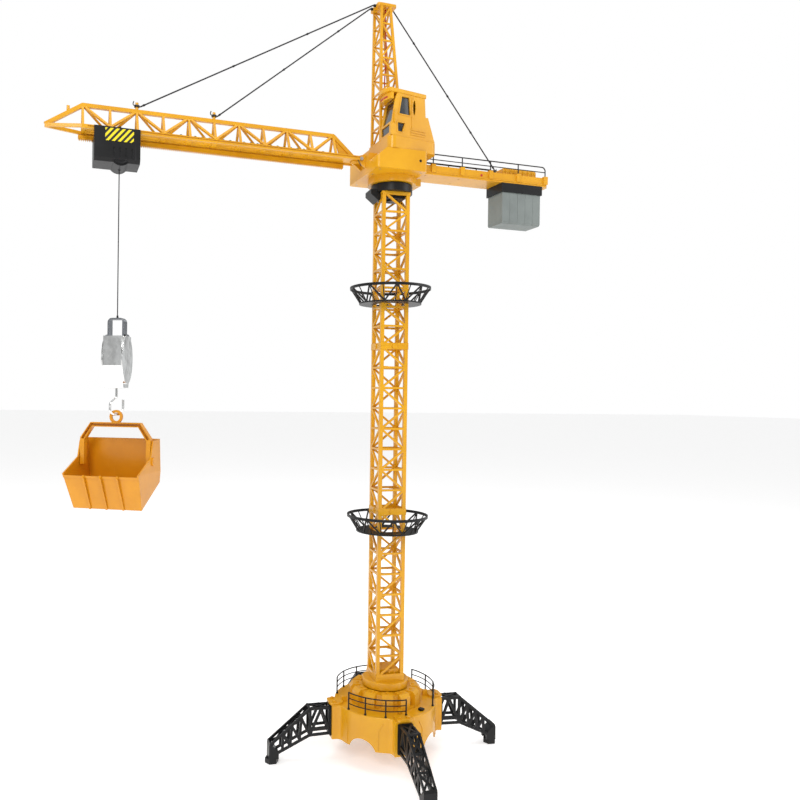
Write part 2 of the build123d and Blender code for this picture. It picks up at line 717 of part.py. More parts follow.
roof_thickness, pane_thickness = 7.0, 1.0
with BuildPart() as cab_roof:
    rear = cab_front - 68
    rear_y = cab_outer_y + 1 - 68 * tan(radians(taper))
    with BuildSketch(Plane.XY.offset(cab_roof_z)):
        with BuildLine():
            Polyline((34, cab_outer_y + 1), (rear, rear_y), (rear, cab_inner_y), (34, cab_inner_y))
            ThreePointArc((34, cab_inner_y), (42, 42), (34, cab_outer_y + 1))
        make_face()
    extrude(amount=roof_thickness)
    fillet(cab_roof.faces().sort_by(Axis.Z)[-1].edges(), 2)
    with BuildSketch(Plane.XY.offset(cab_roof_z)):  # fascia over the windscreen
        with BuildLine():
            sun_side, mast_side = cab_outer_y - 1, cab_inner_y
            Polyline((31.5, sun_side), (27.5, sun_side), (27.5, mast_side), (31.5, mast_side))
            ThreePointArc((31.5, mast_side), (38, 42), (31.5, sun_side))
        make_face()
    extrude(amount=-11)
finish("cab_roof", cab_roof)

with BuildPart() as cab_windows:
    with BuildSketch(side_plane.offset(-cab_wall - fit)):
        for outline in side_windows:
            Polygon(*outline, align=None)
        with Locations((46, 1087)):
            Ellipse(2.5, 12)
        offset(amount=1.3, mode=Mode.ADD)
    extrude(amount=-pane_thickness)
    behind_front = cab_wall + 0.2
    bend = [(cab_front - u - behind_front, z) for u, z in [(-0.2, 1040), *cab_profile[1:5], (8, 1097)]]
    with BuildSketch(Plane.XZ.offset(-cab_inner_y - cab_wall - 1)):  # bent pane behind the front
        Polygon(*bend, *[(x - pane_thickness, z) for x, z in reversed(bend)], align=None)
    extrude(amount=-36)
finish("cab_windows", cab_windows)


# ---- tower head ---------------------------------------------------------------------------
head_bays = 8
rear_at_deck = head_rear_foot + (head_rear_top - head_rear_foot) * 0.085
with BuildPart() as tower_head:
    feet = [(head_front, -head_half_foot), (head_front, head_half_foot),
            (rear_at_deck, head_half_foot), (rear_at_deck, -head_half_foot)]
    tops = [(head_front, -head_half_top), (head_front, head_half_top),
            (head_rear_top, head_half_top), (head_rear_top, -head_half_top)]
    for k in range(4):
        low_a, low_b = (*feet[k], platform_top), (*feet[(k + 1) % 4], platform_top)
        top_a, top_b = (*tops[k], head_top_z), (*tops[(k + 1) % 4], head_top_z)
        bar(low_a, top_a, head_post, head_post)
        lattice(low_a, low_b, top_b, top_a, head_bays, 2.6, 2.6, first=k % 2)
    with BuildSketch(Plane.XY.offset(platform_top)):
        with Locations(((head_front + rear_at_deck) / 2, 0)):
            Rectangle(head_front - rear_at_deck + 8, 2 * head_half_foot + 5)
            Rectangle(head_front - rear_at_deck - 6, 2 * head_half_foot - 7, mode=Mode.SUBTRACT)
    extrude(amount=2.5)
    with BuildSketch(Plane.XY.offset(platform_top)):
        Rectangle(150, 2 * cab_inner_y)
    extrude(amount=head_top_z - platform_top, mode=Mode.INTERSECT)
finish("tower_head", tower_head)

cap_middle = (head_front + head_rear_top) / 2 - 2
with BuildPart() as head_cap:
    with BuildSketch(Plane.XY.offset(head_top_z)):
        with Locations((cap_middle, 0)):
            RectangleRounded(34, 34, 3)
    extrude(amount=5)
    fillet(head_cap.edges().group_by(Axis.Z)[-1], 1)
finish("head_cap", head_cap)

with BuildPart() as top_lamp:
    with BuildSketch(Plane.XZ):
        with BuildLine():
            lamp_z, lamp_radius = head_top_z + 5, 7
            CenterArc((cap_middle, lamp_z), lamp_radius, 0, 90)
            Polyline(
                (cap_middle, lamp_z + lamp_radius),
                (cap_middle, lamp_z),
                (cap_middle + lamp_radius, lamp_z),
            )
        make_face()
    revolve(axis=Axis((cap_middle, 0, 0), (0, 0, 1)))
finish("top_lamp", top_lamp)

knob_x, knob_y, knob_z = cap_middle + 17, 6.0, head_top_z + 2.5
with BuildPart() as head_knobs:
    with BuildSketch(Plane.YZ.offset(knob_x)):
        with Locations((-knob_y, knob_z), (knob_y, knob_z)):
            Circle(2.4)
    extrude(amount=4)
    chamfer(head_knobs.edges().filter_by(GeomType.CIRCLE).group_by(Axis.X)[-1], 0.8)
finish("head_knobs", head_knobs)

# ---- jib ----------------------------------------------------------------------------------
node_x = [jib_first_node + jib_pitch * i for i in range(jib_nodes)]
low_centre = jib_half_width - 2
slot_y, slot_width = 10.5, 5.0
split_x = node_x[jib_nodes // 2] + jib_bar
lug_x, lug_y, ear_thickness = 62.0, 8.0, 4.0
peg_radius, peg_height = 2.4, 11.0
peg_nodes = (5, 8)
with BuildPart() as truss:
    top_overrun = 1.5
    bar((node_x[0] - top_overrun, 0, jib_top_z), (node_x[-1] + top_overrun, 0, jib_top_z),
        chord_height, chord_height)
    bar((jib_root + 2, 0, jib_low_z + 1), (node_x[0], 0, jib_top_z), 7, chord_height)
    bar((node_x[-1], 0, jib_top_z), (jib_nose, 0, jib_low_z + 1), chord_height, chord_height)
    with BuildSketch(Plane.XZ.offset(-1.5)):  # web behind the root
        Polygon((jib_root + 6, jib_low_z), (node_x[0] - 14, jib_low_z), (node_x[0] - 2, jib_top_z - 3),
                (node_x[0] - 8, jib_top_z - 5), align=None)
    extrude(amount=3)
    for side in (-1, 1):
        bar((jib_root, side * low_centre, jib_low_z - 1), (node_x[-1] + 2, side * low_centre, jib_low_z - 1),
            4, chord_height)
        bar((node_x[-1], side * low_centre, jib_low_z - 0.5), (jib_nose, side, jib_low_z), 4, 5)
        up = Vector(0, -side * low_centre, jib_top_z - jib_low_z)
        outward = Vector(1, 0, 0).cross(up)
        face = Plane(origin=(0, side * low_centre, jib_low_z), x_dir=(1, 0, 0), z_dir=outward)
        rise = up.length
        lines = [((x, 2), (x, rise)) for x in node_x]
        for i in range(jib_nodes - 1):
            low_first = (jib_nodes - 1 - i) % 2
            lines.append(((node_x[i], 2 if low_first else rise), (node_x[i + 1], rise if low_first else 2)))
        flat_bars(face.offset(-jib_bar / 2), lines, jib_bar, jib_bar)
        with BuildSketch(Plane.XZ.offset(-side * (jib_half_width + 0.1))):  # groove the trolley hangs on
            with Locations((jib_root - 1, jib_low_z - 1.5)):
                Rectangle(node_x[-1] - jib_root - 6, 2, align=(Align.MIN, Align.MIN))
        extrude(amount=side * 1.6, mode=Mode.SUBTRACT)
    with BuildSketch(Plane.XY.offset(jib_low_z - 2)):
        with Locations((jib_root, 0)):
            Rectangle(node_x[-1] + 2 - jib_root, 2 * low_centre - 4, align=(Align.MIN, Align.CENTER))
        with Locations(((node_x[0] + node_x[-1]) / 2 + 1, slot_y)):  # slot for the trolley's cable stalk
            Rectangle(node_x[-1] - node_x[0] - 14, slot_width, mode=Mode.SUBTRACT)
        with Locations([(x + jib_pitch / 2, y) for x in node_x[:-1] for y in (-9, 1)]):
            Rectangle(jib_pitch - 8, 6.5, mode=Mode.SUBTRACT)
    extrude(amount=2.5)
    with BuildSketch(Plane.XZ.offset(-lug_y + gap)):  # root tongue for the pin
        Polygon(
            (jib_root + 8, jib_low_z + 4),
            (lug_x - 3, jib_low_z + 4),
            (lug_x - 5, jib_low_z),
            (lug_x - 3, jib_low_z - 4),
            (jib_root + 8, jib_low_z - 4),
            align=None,
        )
    extrude(amount=2 * (lug_y - gap))
    with BuildSketch(Plane.XZ.offset(-lug_y)):
        with Locations((lug_x, jib_low_z)):
            Circle(root_pin_radius + fit)
    extrude(amount=2 * lug_y, mode=Mode.SUBTRACT)
    for i in peg_nodes:
        rod((node_x[i], 0, jib_top_z), (node_x[i], 0, jib_top_z + chord_height / 2 + peg_height), peg_radius)
    nose_peg_x = (node_x[-1] + jib_nose) / 2 - 6
    rod((nose_peg_x, 0, 1028), (nose_peg_x, 0, 1041), peg_radius)
with BuildPart() as jib_inner:
    add(truss.part)
    split(bisect_by=Plane.YZ.offset(split_x), keep=Keep.BOTTOM)
finish("jib_inner", jib_inner)
with BuildPart() as jib_outer:
    add(truss.part)
    split(bisect_by=Plane.YZ.offset(split_x), keep=Keep.TOP)
finish("jib_outer", jib_outer)

rack_start, rack_end, rack_top = 84.0, node_x[-1] + 6, jib_low_z - 1 - chord_height / 2
pitch_line = rack_tip_z + gear_module
tooth = gear_module * pi
with BuildPart() as jib_rack:
    with BuildSketch(Plane.XZ.offset(jib_half_width - rack_width)):
        teeth = int((rack_end - rack_start) / tooth)
        outline = [(rack_start, rack_top), (rack_start, pitch_line + 1.25)]
        for k in range(teeth):
            x = rack_start + tooth * (k + 0.5)
            outline += [(x - 1.25, pitch_line + 1.25), (x - 0.35, rack_tip_z + 0.1),
                        (x + 0.35, rack_tip_z + 0.1), (x + 1.25, pitch_line + 1.25)]
        outline += [(rack_end, pitch_line + 1.25), (rack_end, rack_top)]
        Polygon(*outline, align=None)
    extrude(amount=rack_width)
finish("jib_rack", jib_rack)

with BuildPart() as jib_pin:
    ear_face = lug_y + ear_thickness
    rod((lug_x, -ear_face - 1, jib_low_z), (lug_x, ear_face + 1, jib_low_z), root_pin_radius)
    rod((lug_x, ear_face, jib_low_z), (lug_x, ear_face + 2.5, jib_low_z), 2 * root_pin_radius)
finish("jib_pin", jib_pin)

with BuildPart() as jib_lugs:
    for side in (-1, 1):
        with BuildSketch(Plane.XZ.offset(-side * lug_y)):
            Polygon(
                (housing_front, jib_low_z - 14),
                (lug_x + 4, jib_low_z - 5),
                (lug_x + 5, jib_low_z),
                (lug_x + 3, jib_low_z + 5),
                (housing_front - 8, platform_bottom + 3),
                (platform_front, platform_bottom + 3),
                (platform_front, platform_bottom),
                (housing_front, platform_bottom),
                align=None,
            )
            with Locations((lug_x, jib_low_z)):
                Circle(root_pin_radius + fit, mode=Mode.SUBTRACT)
        extrude(amount=-side * ear_thickness)
finish("jib_lugs", jib_lugs)

# ---- counter-jib --------------------------------------------------------------------------
counter_end = housing_rear - counter_length
post_x = [housing_rear - 30 - counter_rail_pitch * k for k in range(5)]
with BuildPart() as counter_jib:
    with BuildSketch(Plane.XY.offset(counter_bottom + 2.4)) as outline:
        with Locations((housing_rear, 0)):
            Rectangle(counter_length, 2 * counter_half_width, align=(Align.MAX, Align.CENTER))
        chamfer(outline.vertices().group_by(Axis.X)[0], 6)
    extrude(amount=counter_top - counter_bottom - 2.4)
    with BuildSketch(Plane.XY.offset(counter_bottom + 2.4)) as pocket:
        with Locations((housing_rear - 3, 0)):
            Rectangle(counter_length - 9, 2 * counter_half_width - 6, align=(Align.MAX, Align.CENTER))
        chamfer(pocket.vertices().group_by(Axis.X)[0], 5)
    extrude(amount=counter_top - counter_bottom - 4.8, mode=Mode.SUBTRACT)
    for side in (-1, 1):
        for x in post_x:  # post sockets
            with BuildSketch(Plane.XY.offset(counter_bottom + 4)):
                with Locations((x, side * counter_half_width)):
                    Rectangle(8, 6)
            extrude(amount=counter_top + 2 - counter_bottom - 4)
        with BuildSketch(Plane.XZ.offset(-side * counter_half_width)):
            with Locations(((housing_rear + counter_end) / 2, counter_bottom + 4)):
                Rectangle(counter_length - 14, 1.6)
        extrude(amount=-side * 1.2)
    with BuildSketch(Plane.XY.offset(counter_top)):
        with Locations((counter_end + 8, 0)):
            Circle(5)
    extrude(amount=3)
    for k in range(8):  # non-slip ribs
        with BuildSketch(Plane.XY.offset(counter_top)):
            with Locations((housing_rear - 34 - 15 * k, 0)):
                Rectangle(7, 34)
        extrude(amount=0.6)
finish("counter_jib", counter_jib)

holder_front, holder_rear = slab_front + 2.5, slab_front - slab_count * slab_thickness - 2.5
with BuildPart() as counter_cover:
    with BuildSketch(Plane.XY.offset(counter_bottom)) as outline:
        with Locations((housing_rear, 0)):
            Rectangle(counter_length, 2 * counter_half_width, align=(Align.MAX, Align.CENTER))
        chamfer(outline.vertices().group_by(Axis.X)[0], 6)
        with Locations([(x, y) for x in (-56, -120, -186, -290) for y in (-15, 15)]):
            Circle(1.6, mode=Mode.SUBTRACT)
    extrude(amount=2.4)
finish("counter_jib_cover", counter_cover)

with BuildPart() as ballast_holder:
    with BuildSketch(Plane.XY.offset(counter_bottom)):
        with Locations(((holder_front + holder_rear) / 2, 0)):
            Rectangle(holder_front - holder_rear, 2 * slab_half_width + 4)
    extrude(amount=-16)
    with BuildSketch(Plane.XY.offset(counter_bottom - 5)):
        with Locations((slab_front, 0)):
            Rectangle(slab_count * slab_thickness, 2 * slab_half_width, align=(Align.MAX, Align.CENTER))
    extrude(amount=-11, mode=Mode.SUBTRACT)
finish("ballast_holder", ballast_holder)

slab_top = counter_bottom - 5
with BuildPart() as counterweight:
    for k in range(slab_count):
        with BuildSketch(Plane.YZ.offset(slab_front - slab_thickness * (k + 1) + gap / 2)) as face:
            with Locations((0, slab_top - slab_height / 2)):
                Rectangle(2 * slab_half_width - 2 * fit, slab_height)
            chamfer(face.vertices().group_by(Axis.Y)[0], 3)
        extrude(amount=slab_thickness - gap)
finish("counterweight", counterweight)

with BuildPart() as ballast_box:
    box_middle = (holder_front + holder_rear) / 2
    with BuildSketch(Plane.XY.offset(counter_top)):
        with Locations((box_middle, 0)):
            Rectangle(68, 32)
    extrude(amount=13)
    chamfer(ballast_box.edges().group_by(Axis.Z)[-1], 2)
    with BuildSketch(Plane.XY.offset(counter_top)):
        with Locations([(box_middle - 27 + 9 * k, side * 16) for k in range(7) for side in (-1, 1)]):
            Rectangle(4, 2.4)
    extrude(amount=11)
finish("ballast_box", ballast_box)

rail_top = counter_top + counter_rail_height
with BuildPart() as counter_railing:
    for side in (-1, 1):
        y = side * counter_half_width
        wire_run([(platform_rear, y, rail_top), (post_x[-1], y, rail_top), (post_x[-1], y, counter_top + 2)],
                 [7], rail_wire / 2)
        rod((platform_rear, y, counter_top + 10), (post_x[-1], y, counter_top + 10), 0.8)
        rod((housing_rear, y, counter_top + 3.6), (post_x[2], y, counter_top + 3.6), 0.8)
        for x in post_x[:-1]:
            rod((x, y, counter_top + 2), (x, y, rail_top), rail_wire / 2)
finish("counter_railing", counter_railing)

# ---- pendants -----------------------------------------------------------------------------
pendant_radius = 0.9
rear_peg_x, rear_peg_y = -188.0, 20.0
with BuildPart() as pendant_fittings:
    for i in peg_nodes:
        with BuildSketch(Plane.XY.offset(jib_top_z + chord_height / 2 + 4)):
            with Locations((node_x[i], 0)):
                Circle(peg_radius + 1.8)
                Circle(peg_radius, mode=Mode.SUBTRACT)
        extrude(amount=3)
    with BuildSketch(Plane.XY.offset(counter_top)):
        with Locations((rear_peg_x, rear_peg_y)):
            Circle(2.4)
    extrude(amount=5)
finish("pendant_fittings", pendant_fittings)

peg_side = jib_top_z + chord_height / 2 + 5.5
peg_play = peg_radius + 2.5
pendant_ends = {
    "pendant_long": ((knob_x + 4.6, knob_y, knob_z), (node_x[peg_nodes[1]] - peg_play, 0, peg_side)),
    "pendant_short": ((knob_x + 4.6, -knob_y, knob_z), (node_x[peg_nodes[0]] - peg_play, 0, peg_side)),
    "pendant_rear": ((cap_middle - 18, 0, knob_z), (rear_peg_x, rear_peg_y, counter_top + 5.9)),
}
for name, (start, end) in pendant_ends.items():
    with BuildPart() as pendant:
        rod(start, end, pendant_radius)
    finish(name, pendant)

coil_start, coil_end, coil_radius = node_x[0] + 2, line_x - 10.0, 4.5
with BuildPart() as signal_coil:
    rod((coil_start, 0, jib_low_z + 6), (383, 0, jib_low_z + 6), coil_radius)
    rod((383, 0, jib_low_z + 6), (coil_end, 0, jib_low_z + 6), 1.1)
finish("signal_coil", signal_coil)

# ---- trolley ------------------------------------------------------------------------------
channel_half = jib_half_width + gap
channel_floor = rack_tip_z - 0.5
pinion_x = 478.0
pinion_axis_z = pitch_line - travel_pinion_teeth * gear_module / 2
pinion_y = -jib_half_width + rack_width / 2
drum_x = line_x - line_radius - winch_radius - fit
drum_z = 968.0
with BuildPart() as trolley_housing:
    with BuildSketch(Plane.YZ.offset(trolley_inner)) as face:
        with Locations((0, (trolley_top + trolley_bottom) / 2)):
            Rectangle(2 * trolley_half_width, trolley_top - trolley_bottom)
        chamfer(face.vertices().group_by(Axis.Y)[0], 5)
    extrude(amount=trolley_outer - trolley_inner)
    with BuildSketch(Plane.XZ.offset(-trolley_half_width + 3)):
        with Locations((line_x, 967)):
            Circle(15)
    extrude(amount=2 * trolley_half_width - 6)
    with BuildSketch(Plane.YZ.offset(trolley_inner - 1)):  # channel round the jib's low chords
        with Locations((0, channel_floor)):
            Rectangle(2 * channel_half, 20, align=(Align.CENTER, Align.MIN))
    extrude(amount=trolley_outer - trolley_inner + 2, mode=Mode.SUBTRACT)
    for side in (-1, 1):  # lips that hang in the chord grooves
        with BuildSketch(Plane.XZ.offset(-side * channel_half)):
            with Locations((trolley_inner, jib_low_z - 1.2)):
                Rectangle(trolley_outer - trolley_inner, 1.4, align=(Align.MIN, Align.MIN))
        extrude(amount=side * 1.4)
        with BuildSketch(Plane.XZ.offset(-side * channel_half)):
            with Locations(((trolley_inner + trolley_outer) / 2, jib_low_z - 2.4)):
                Rectangle(trolley_outer - trolley_inner, 5.2)
        extrude(amount=-side * (trolley_half_width - channel_half))
    with BuildSketch(Plane.XY.offset(trolley_bottom + 3)):
        with Locations(((trolley_inner + trolley_outer) / 2, 0)):
            Rectangle(trolley_outer - trolley_inner - 6, 2 * trolley_half_width - 12)
    extrude(amount=channel_floor - 2.4 - trolley_bottom - 3, mode=Mode.SUBTRACT)
    with BuildSketch(Plane.XZ.offset(-trolley_half_width + 6)):  # room for the winch drum
        with Locations((line_x, 967)):
            Circle(12)
    extrude(amount=2 * trolley_half_width - 12, mode=Mode.SUBTRACT)
    with BuildSketch(Plane.XY.offset(channel_floor)):  # window for the travel pinion
        with Locations((pinion_x, pinion_y)):
            Rectangle(17, rack_width + 1.4)
    extrude(amount=-2.4, mode=Mode.SUBTRACT)
    with BuildSketch(Plane.XY.offset(980)):
        with Locations((line_x, 0)):
            Circle(2.5)
    extrude(amount=-30, mode=Mode.SUBTRACT)
    for k in range(4):  # grip grooves low on the near side
        with BuildSketch(Plane.XZ.offset(-trolley_half_width)):
            with Locations((trolley_inner + 12 + 9 * k, trolley_bottom + 14)):
                Rectangle(2.5, 14)
        extrude(amount=1, mode=Mode.SUBTRACT)
    rod((trolley_outer - 16, -slot_y - 4, 960), (trolley_outer - 16, -slot_y - 4, 958), 1)
    rod((line_x, slot_y, channel_floor - 2), (line_x, slot_y, jib_low_z + 7), 1.6)
finish("trolley_housing", trolley_housing)

with BuildPart() as hazard_plates:
    for side in (-1, 1):
        with BuildSketch(Plane.XZ.offset(-side * trolley_half_width)) as face:
            with Locations((trolley_inner + 31, trolley_top - 9.5)):
                Rectangle(42, 19)
            chamfer(face.vertices().group_by(Axis.X)[0], 3)
        extrude(amount=-side * 0.8)
finish("hazard_plates", hazard_plates)

with BuildPart() as trolley_motors:
    for x, y, z in ((pinion_x + 2, pinion_y + rack_width / 2 + 13, 978.0), (436.5, 6.0, 980.0)):
        with BuildSketch(Plane.XZ.offset(-y - 8)):
            with Locations((x, z)):
                RectangleRounded(11, 15, 3)
        extrude(amount=16)
finish("trolley_motors", trolley_motors)

with BuildPart() as travel_pinion:
    past_tooth = (pinion_x - rack_start - tooth / 2) % tooth
    mesh_turn = degrees(past_tooth / (travel_pinion_teeth / 2 * gear_module)) + 180 / travel_pinion_teeth
    with BuildSketch(Plane.XZ.offset(-pinion_y - rack_width / 2)):
        with Locations((pinion_x, pinion_axis_z)):
            gear_outline(travel_pinion_teeth, gear_module, gear_slack, phase=mesh_turn)
    extrude(amount=rack_width)
    shaft_start = (pinion_x, pinion_y - rack_width / 2 - gap, pinion_axis_z)
    rod(shaft_start, (pinion_x, pinion_y + rack_width / 2 + 3, pinion_axis_z), shaft_radius)
finish("travel_pinion", travel_pinion)

with BuildPart() as winch_drum:
    rod((drum_x, -7, drum_z), (drum_x, 7, drum_z), winch_radius)
    for y in (-8.5, 7):
        rod((drum_x, y, drum_z), (drum_x, y + 1.5, drum_z), winch_radius + 2.5)
    rod((drum_x, -14, drum_z), (drum_x, 14, drum_z), shaft_radius)
finish("winch_drum", winch_drum)

# ---- hoist line, block and hook -----------------------------------------------------------
front_dir = Vector(sin(radians(load_turn)), cos(radians(load_turn)), 0)
width_dir = Vector(-cos(radians(load_turn)), sin(radians(load_turn)), 0)
load_point = Vector(line_x, 0, 0)
with BuildPart() as hoist_line:
    rod((line_x, 0, drum_z), (line_x, 0, block_top), line_radius)
finish("hoist_line", hoist_line)

block_wall = 2.0
block_outline = [(-9, block_bottom), (9, block_bottom), (17, 652), (17, 697), (-17, 697), (-17, 652)]
profile_plane = Plane(origin=load_point, x_dir=front_dir, z_dir=width_dir * -1)
face_plane = Plane(origin=load_point, x_dir=width_dir, z_dir=front_dir)
with BuildPart() as hook_block:
    with BuildSketch(profile_plane.offset(-15)):
        Polygon(*block_outline, align=None)
    extrude(amount=30)
    with BuildSketch(profile_plane.offset(block_wall - 15)):
        Polygon(*block_outline, align=None)
        offset(amount=-block_wall)
    extrude(amount=2 * (15 - block_wall), mode=Mode.SUBTRACT)
    for side in (-1, 1):  # oval cheek plates
        with BuildSketch(profile_plane.offset(side * 15)):
            with Locations((0, 662)):
                Ellipse(18.5, 38)
        extrude(amount=side * 2.4)
    with BuildSketch(face_plane.offset(-6)) as strap:
        with Locations((0, 697)):
            Rectangle(27, 28, align=(Align.CENTER, Align.MIN))
            fillet(strap.vertices().group_by(Axis.Y)[-1], 7)
            Rectangle(21.4, 25, align=(Align.CENTER, Align.MIN), mode=Mode.SUBTRACT)
    extrude(amount=12)
finish("hook_block", hook_block)

hook_dir = Vector(cos(radians(hook_turn)), sin(radians(hook_turn)), 0)
bowl_z = 577.1
hook_radius = 1.9
hook_path = [
    (0, block_bottom - gap),
    (0, 603),
    (10.5, 594),
    (10.5, 582),
    (6, bowl_z),
    (-6, bowl_z),
    (-11, 585),
    (-11, 600),
]
hook_bends = [5, 6, 5.5, 4.5, 4.5, 6]
with BuildPart() as hook:
    wire_run([load_point + hook_dir * u + Vector(0, 0, z) for u, z in hook_path], hook_bends, hook_radius)
finish("hook", hook)

# ---- bail and bucket ----------------------------------------------------------------------
eye_centre_z = bowl_z + hook_radius + 1.2 - eye_inner
bar_top_z, shoulder_z, shoulder_half = 565.0, 541.0, 41.0
pivot_pin = 3.0
arch = [(-bail_reach, bucket_pivot_z - 6), (-bail_reach, shoulder_z), (-shoulder_half, bar_top_z),
        (shoulder_half, bar_top_z), (bail_reach, shoulder_z), (bail_reach, bucket_pivot_z - 6)]
inset = [(-bail_reach + bail_section, bucket_pivot_z - 6), (-bail_reach + bail_section, shoulder_z - 3),
         (-shoulder_half + 3, bar_top_z - bail_section), (shoulder_half - 3, bar_top_z - bail_section),
         (bail_reach - bail_section, shoulder_z - 3), (bail_reach - bail_section, bucket_pivot_z - 6)]
with BuildPart() as bucket_bail:
    with BuildSketch(face_plane.offset(-4.5)):
        Polygon(*arch, *reversed(inset), align=None)
        with Locations((0, eye_centre_z)):
            Circle(eye_inner + 3.9)
            Circle(eye_inner, mode=Mode.SUBTRACT)
    extrude(amount=9)
    for side in (-1, 1):  # thin the eye to its own width
        with BuildSketch(face_plane.offset(side * 1.9)):
            with Locations((0, bar_top_z)):
                Rectangle(30, 30, align=(Align.CENTER, Align.MIN))
        extrude(amount=side * 3, mode=Mode.SUBTRACT)
    with BuildSketch(face_plane.offset(4.5)):
        with BuildLine():
            middle = [((a[0] + b[0]) / 2, (a[1] + b[1]) / 2) for a, b in zip(arch, inset)]
            Polyline(*middle[1:-1])
        trace(line_width=bail_section - 3)
    extrude(amount=-6, mode=Mode.SUBTRACT)
    for side in (-1, 1):
        pin_root = load_point + width_dir * side * (bail_reach - 1) + Vector(0, 0, bucket_pivot_z)
        rod(pin_root, pin_root + width_dir * side * (bucket_width / 2 - bail_reach + 3.2), pivot_pin)
finish("bucket_bail", bucket_bail)

side_profile = [(52, 490), (27, 435), (-32, 472), (-26.5, 540), (0, 537), (7, 512)]
half_top, half_bottom = bucket_width / 2, bucket_width / 2 - 6
with BuildPart() as bucket_hollow:
    with BuildSketch(profile_plane.offset(-bucket_width)):
        Polygon((52, 490), (27, 435), (-32, 472), (-26.5, 540), (0, 580), (52, 580), align=None)
        offset(amount=-bucket_wall)
        Polygon((49.5, 486), (-24.3, 520), (-24.3, 590), (60, 590), (60, 490), align=None)
    extrude(amount=2 * bucket_width)
    with BuildSketch(face_plane.offset(-90)):
        Polygon((-half_top, 600), (-half_top, 490), (-half_bottom, 430),
                (half_bottom, 430), (half_top, 490), (half_top, 600), align=None)
        offset(amount=-bucket_wall)
    extrude(amount=180, mode=Mode.INTERSECT)
with BuildPart() as bucket:
    with BuildSketch(profile_plane.offset(-bucket_width)):
        Polygon(*side_profile, align=None)
        Polygon((53.5, 490), (50, 483), (44, 483), (44, 490), align=None)
    extrude(amount=2 * bucket_width)
    with BuildSketch(face_plane.offset(-90)):
        Polygon((-half_top, 560), (-half_top, 490), (-half_bottom, 430),
                (half_bottom, 430), (half_top, 490), (half_top, 560), align=None)
    extrude(amount=180, mode=Mode.INTERSECT)
    add(bucket_hollow.part, mode=Mode.SUBTRACT)
    for side in (-1, 1):
        boss = load_point + width_dir * side * (bucket_width / 2 - 1) + Vector(0, 0, bucket_pivot_z)
        rod(boss, boss + width_dir * side * 3, 6.5)
    with BuildSketch(profile_plane.offset(-bucket_width)):
        with Locations((0, bucket_pivot_z)):
            Circle(pivot_pin + fit)
    extrude(amount=2 * bucket_width, mode=Mode.SUBTRACT)
    for k in (-1, 0, 1):  # ribs down the front wall
        with BuildSketch(profile_plane.offset(k * 27 - 1.5)):
            Polygon((52, 488), (54, 484), (29.5, 434.5), (27.5, 436), align=None)
        extrude(amount=3)
finish("bucket", bucket)
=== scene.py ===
"""Toy tower crane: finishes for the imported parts, cords, small fittings, floor, light and camera."""

from math import cos, pi, radians, sin, sqrt

import bpy
from mathutils import Matrix, Vector


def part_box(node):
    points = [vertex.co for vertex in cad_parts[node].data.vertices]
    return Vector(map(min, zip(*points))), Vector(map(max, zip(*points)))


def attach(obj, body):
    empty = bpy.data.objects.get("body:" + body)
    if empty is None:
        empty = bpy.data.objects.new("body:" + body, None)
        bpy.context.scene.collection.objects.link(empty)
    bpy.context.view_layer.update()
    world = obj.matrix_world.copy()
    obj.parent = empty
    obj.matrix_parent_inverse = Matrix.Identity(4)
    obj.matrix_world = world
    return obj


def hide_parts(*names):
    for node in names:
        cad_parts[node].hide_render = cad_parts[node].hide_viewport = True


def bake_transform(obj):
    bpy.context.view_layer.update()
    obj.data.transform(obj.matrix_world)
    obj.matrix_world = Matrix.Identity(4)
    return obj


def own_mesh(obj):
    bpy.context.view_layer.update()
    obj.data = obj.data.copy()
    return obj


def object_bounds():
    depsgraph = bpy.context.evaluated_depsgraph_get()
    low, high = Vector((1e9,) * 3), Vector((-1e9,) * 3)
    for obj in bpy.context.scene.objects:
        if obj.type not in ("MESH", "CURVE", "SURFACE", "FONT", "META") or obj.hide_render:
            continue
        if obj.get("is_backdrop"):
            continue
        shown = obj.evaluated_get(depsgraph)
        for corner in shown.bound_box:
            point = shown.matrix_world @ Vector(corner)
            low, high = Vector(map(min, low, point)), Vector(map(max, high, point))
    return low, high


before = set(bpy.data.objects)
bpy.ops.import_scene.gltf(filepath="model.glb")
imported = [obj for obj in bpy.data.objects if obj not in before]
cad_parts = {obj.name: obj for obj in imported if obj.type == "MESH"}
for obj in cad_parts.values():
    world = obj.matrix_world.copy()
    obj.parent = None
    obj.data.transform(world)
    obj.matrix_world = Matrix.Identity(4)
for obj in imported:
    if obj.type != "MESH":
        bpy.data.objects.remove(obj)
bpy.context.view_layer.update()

# ---- shader maths -------------------------------------------------------------------------


class Strand:
    """One value in a finish, so that shader maths reads as plain sums."""

    def __init__(self, finish, socket):
        self.finish = finish
        self.socket = socket

    def sum_of(self, operation, *terms):
        return self.finish.node("ShaderNodeMath", {"operation": operation}, dict(enumerate(terms)))

    def __add__(self, other):
        return self.sum_of("ADD", self, other)

    def __radd__(self, other):
        return self.sum_of("ADD", other, self)

    def __sub__(self, other):
        return self.sum_of("SUBTRACT", self, other)

    def __rsub__(self, other):
        return self.sum_of("SUBTRACT", other, self)

    def __mul__(self, other):
        return self.sum_of("MULTIPLY", self, other)

    def __rmul__(self, other):
        return self.sum_of("MULTIPLY", other, self)

    def __truediv__(self, other):
        return self.sum_of("DIVIDE", self, other)

    def part(self):
        """What is left of a value above its whole number, for patterns that repeat."""
        return self.sum_of("FRACT", self)


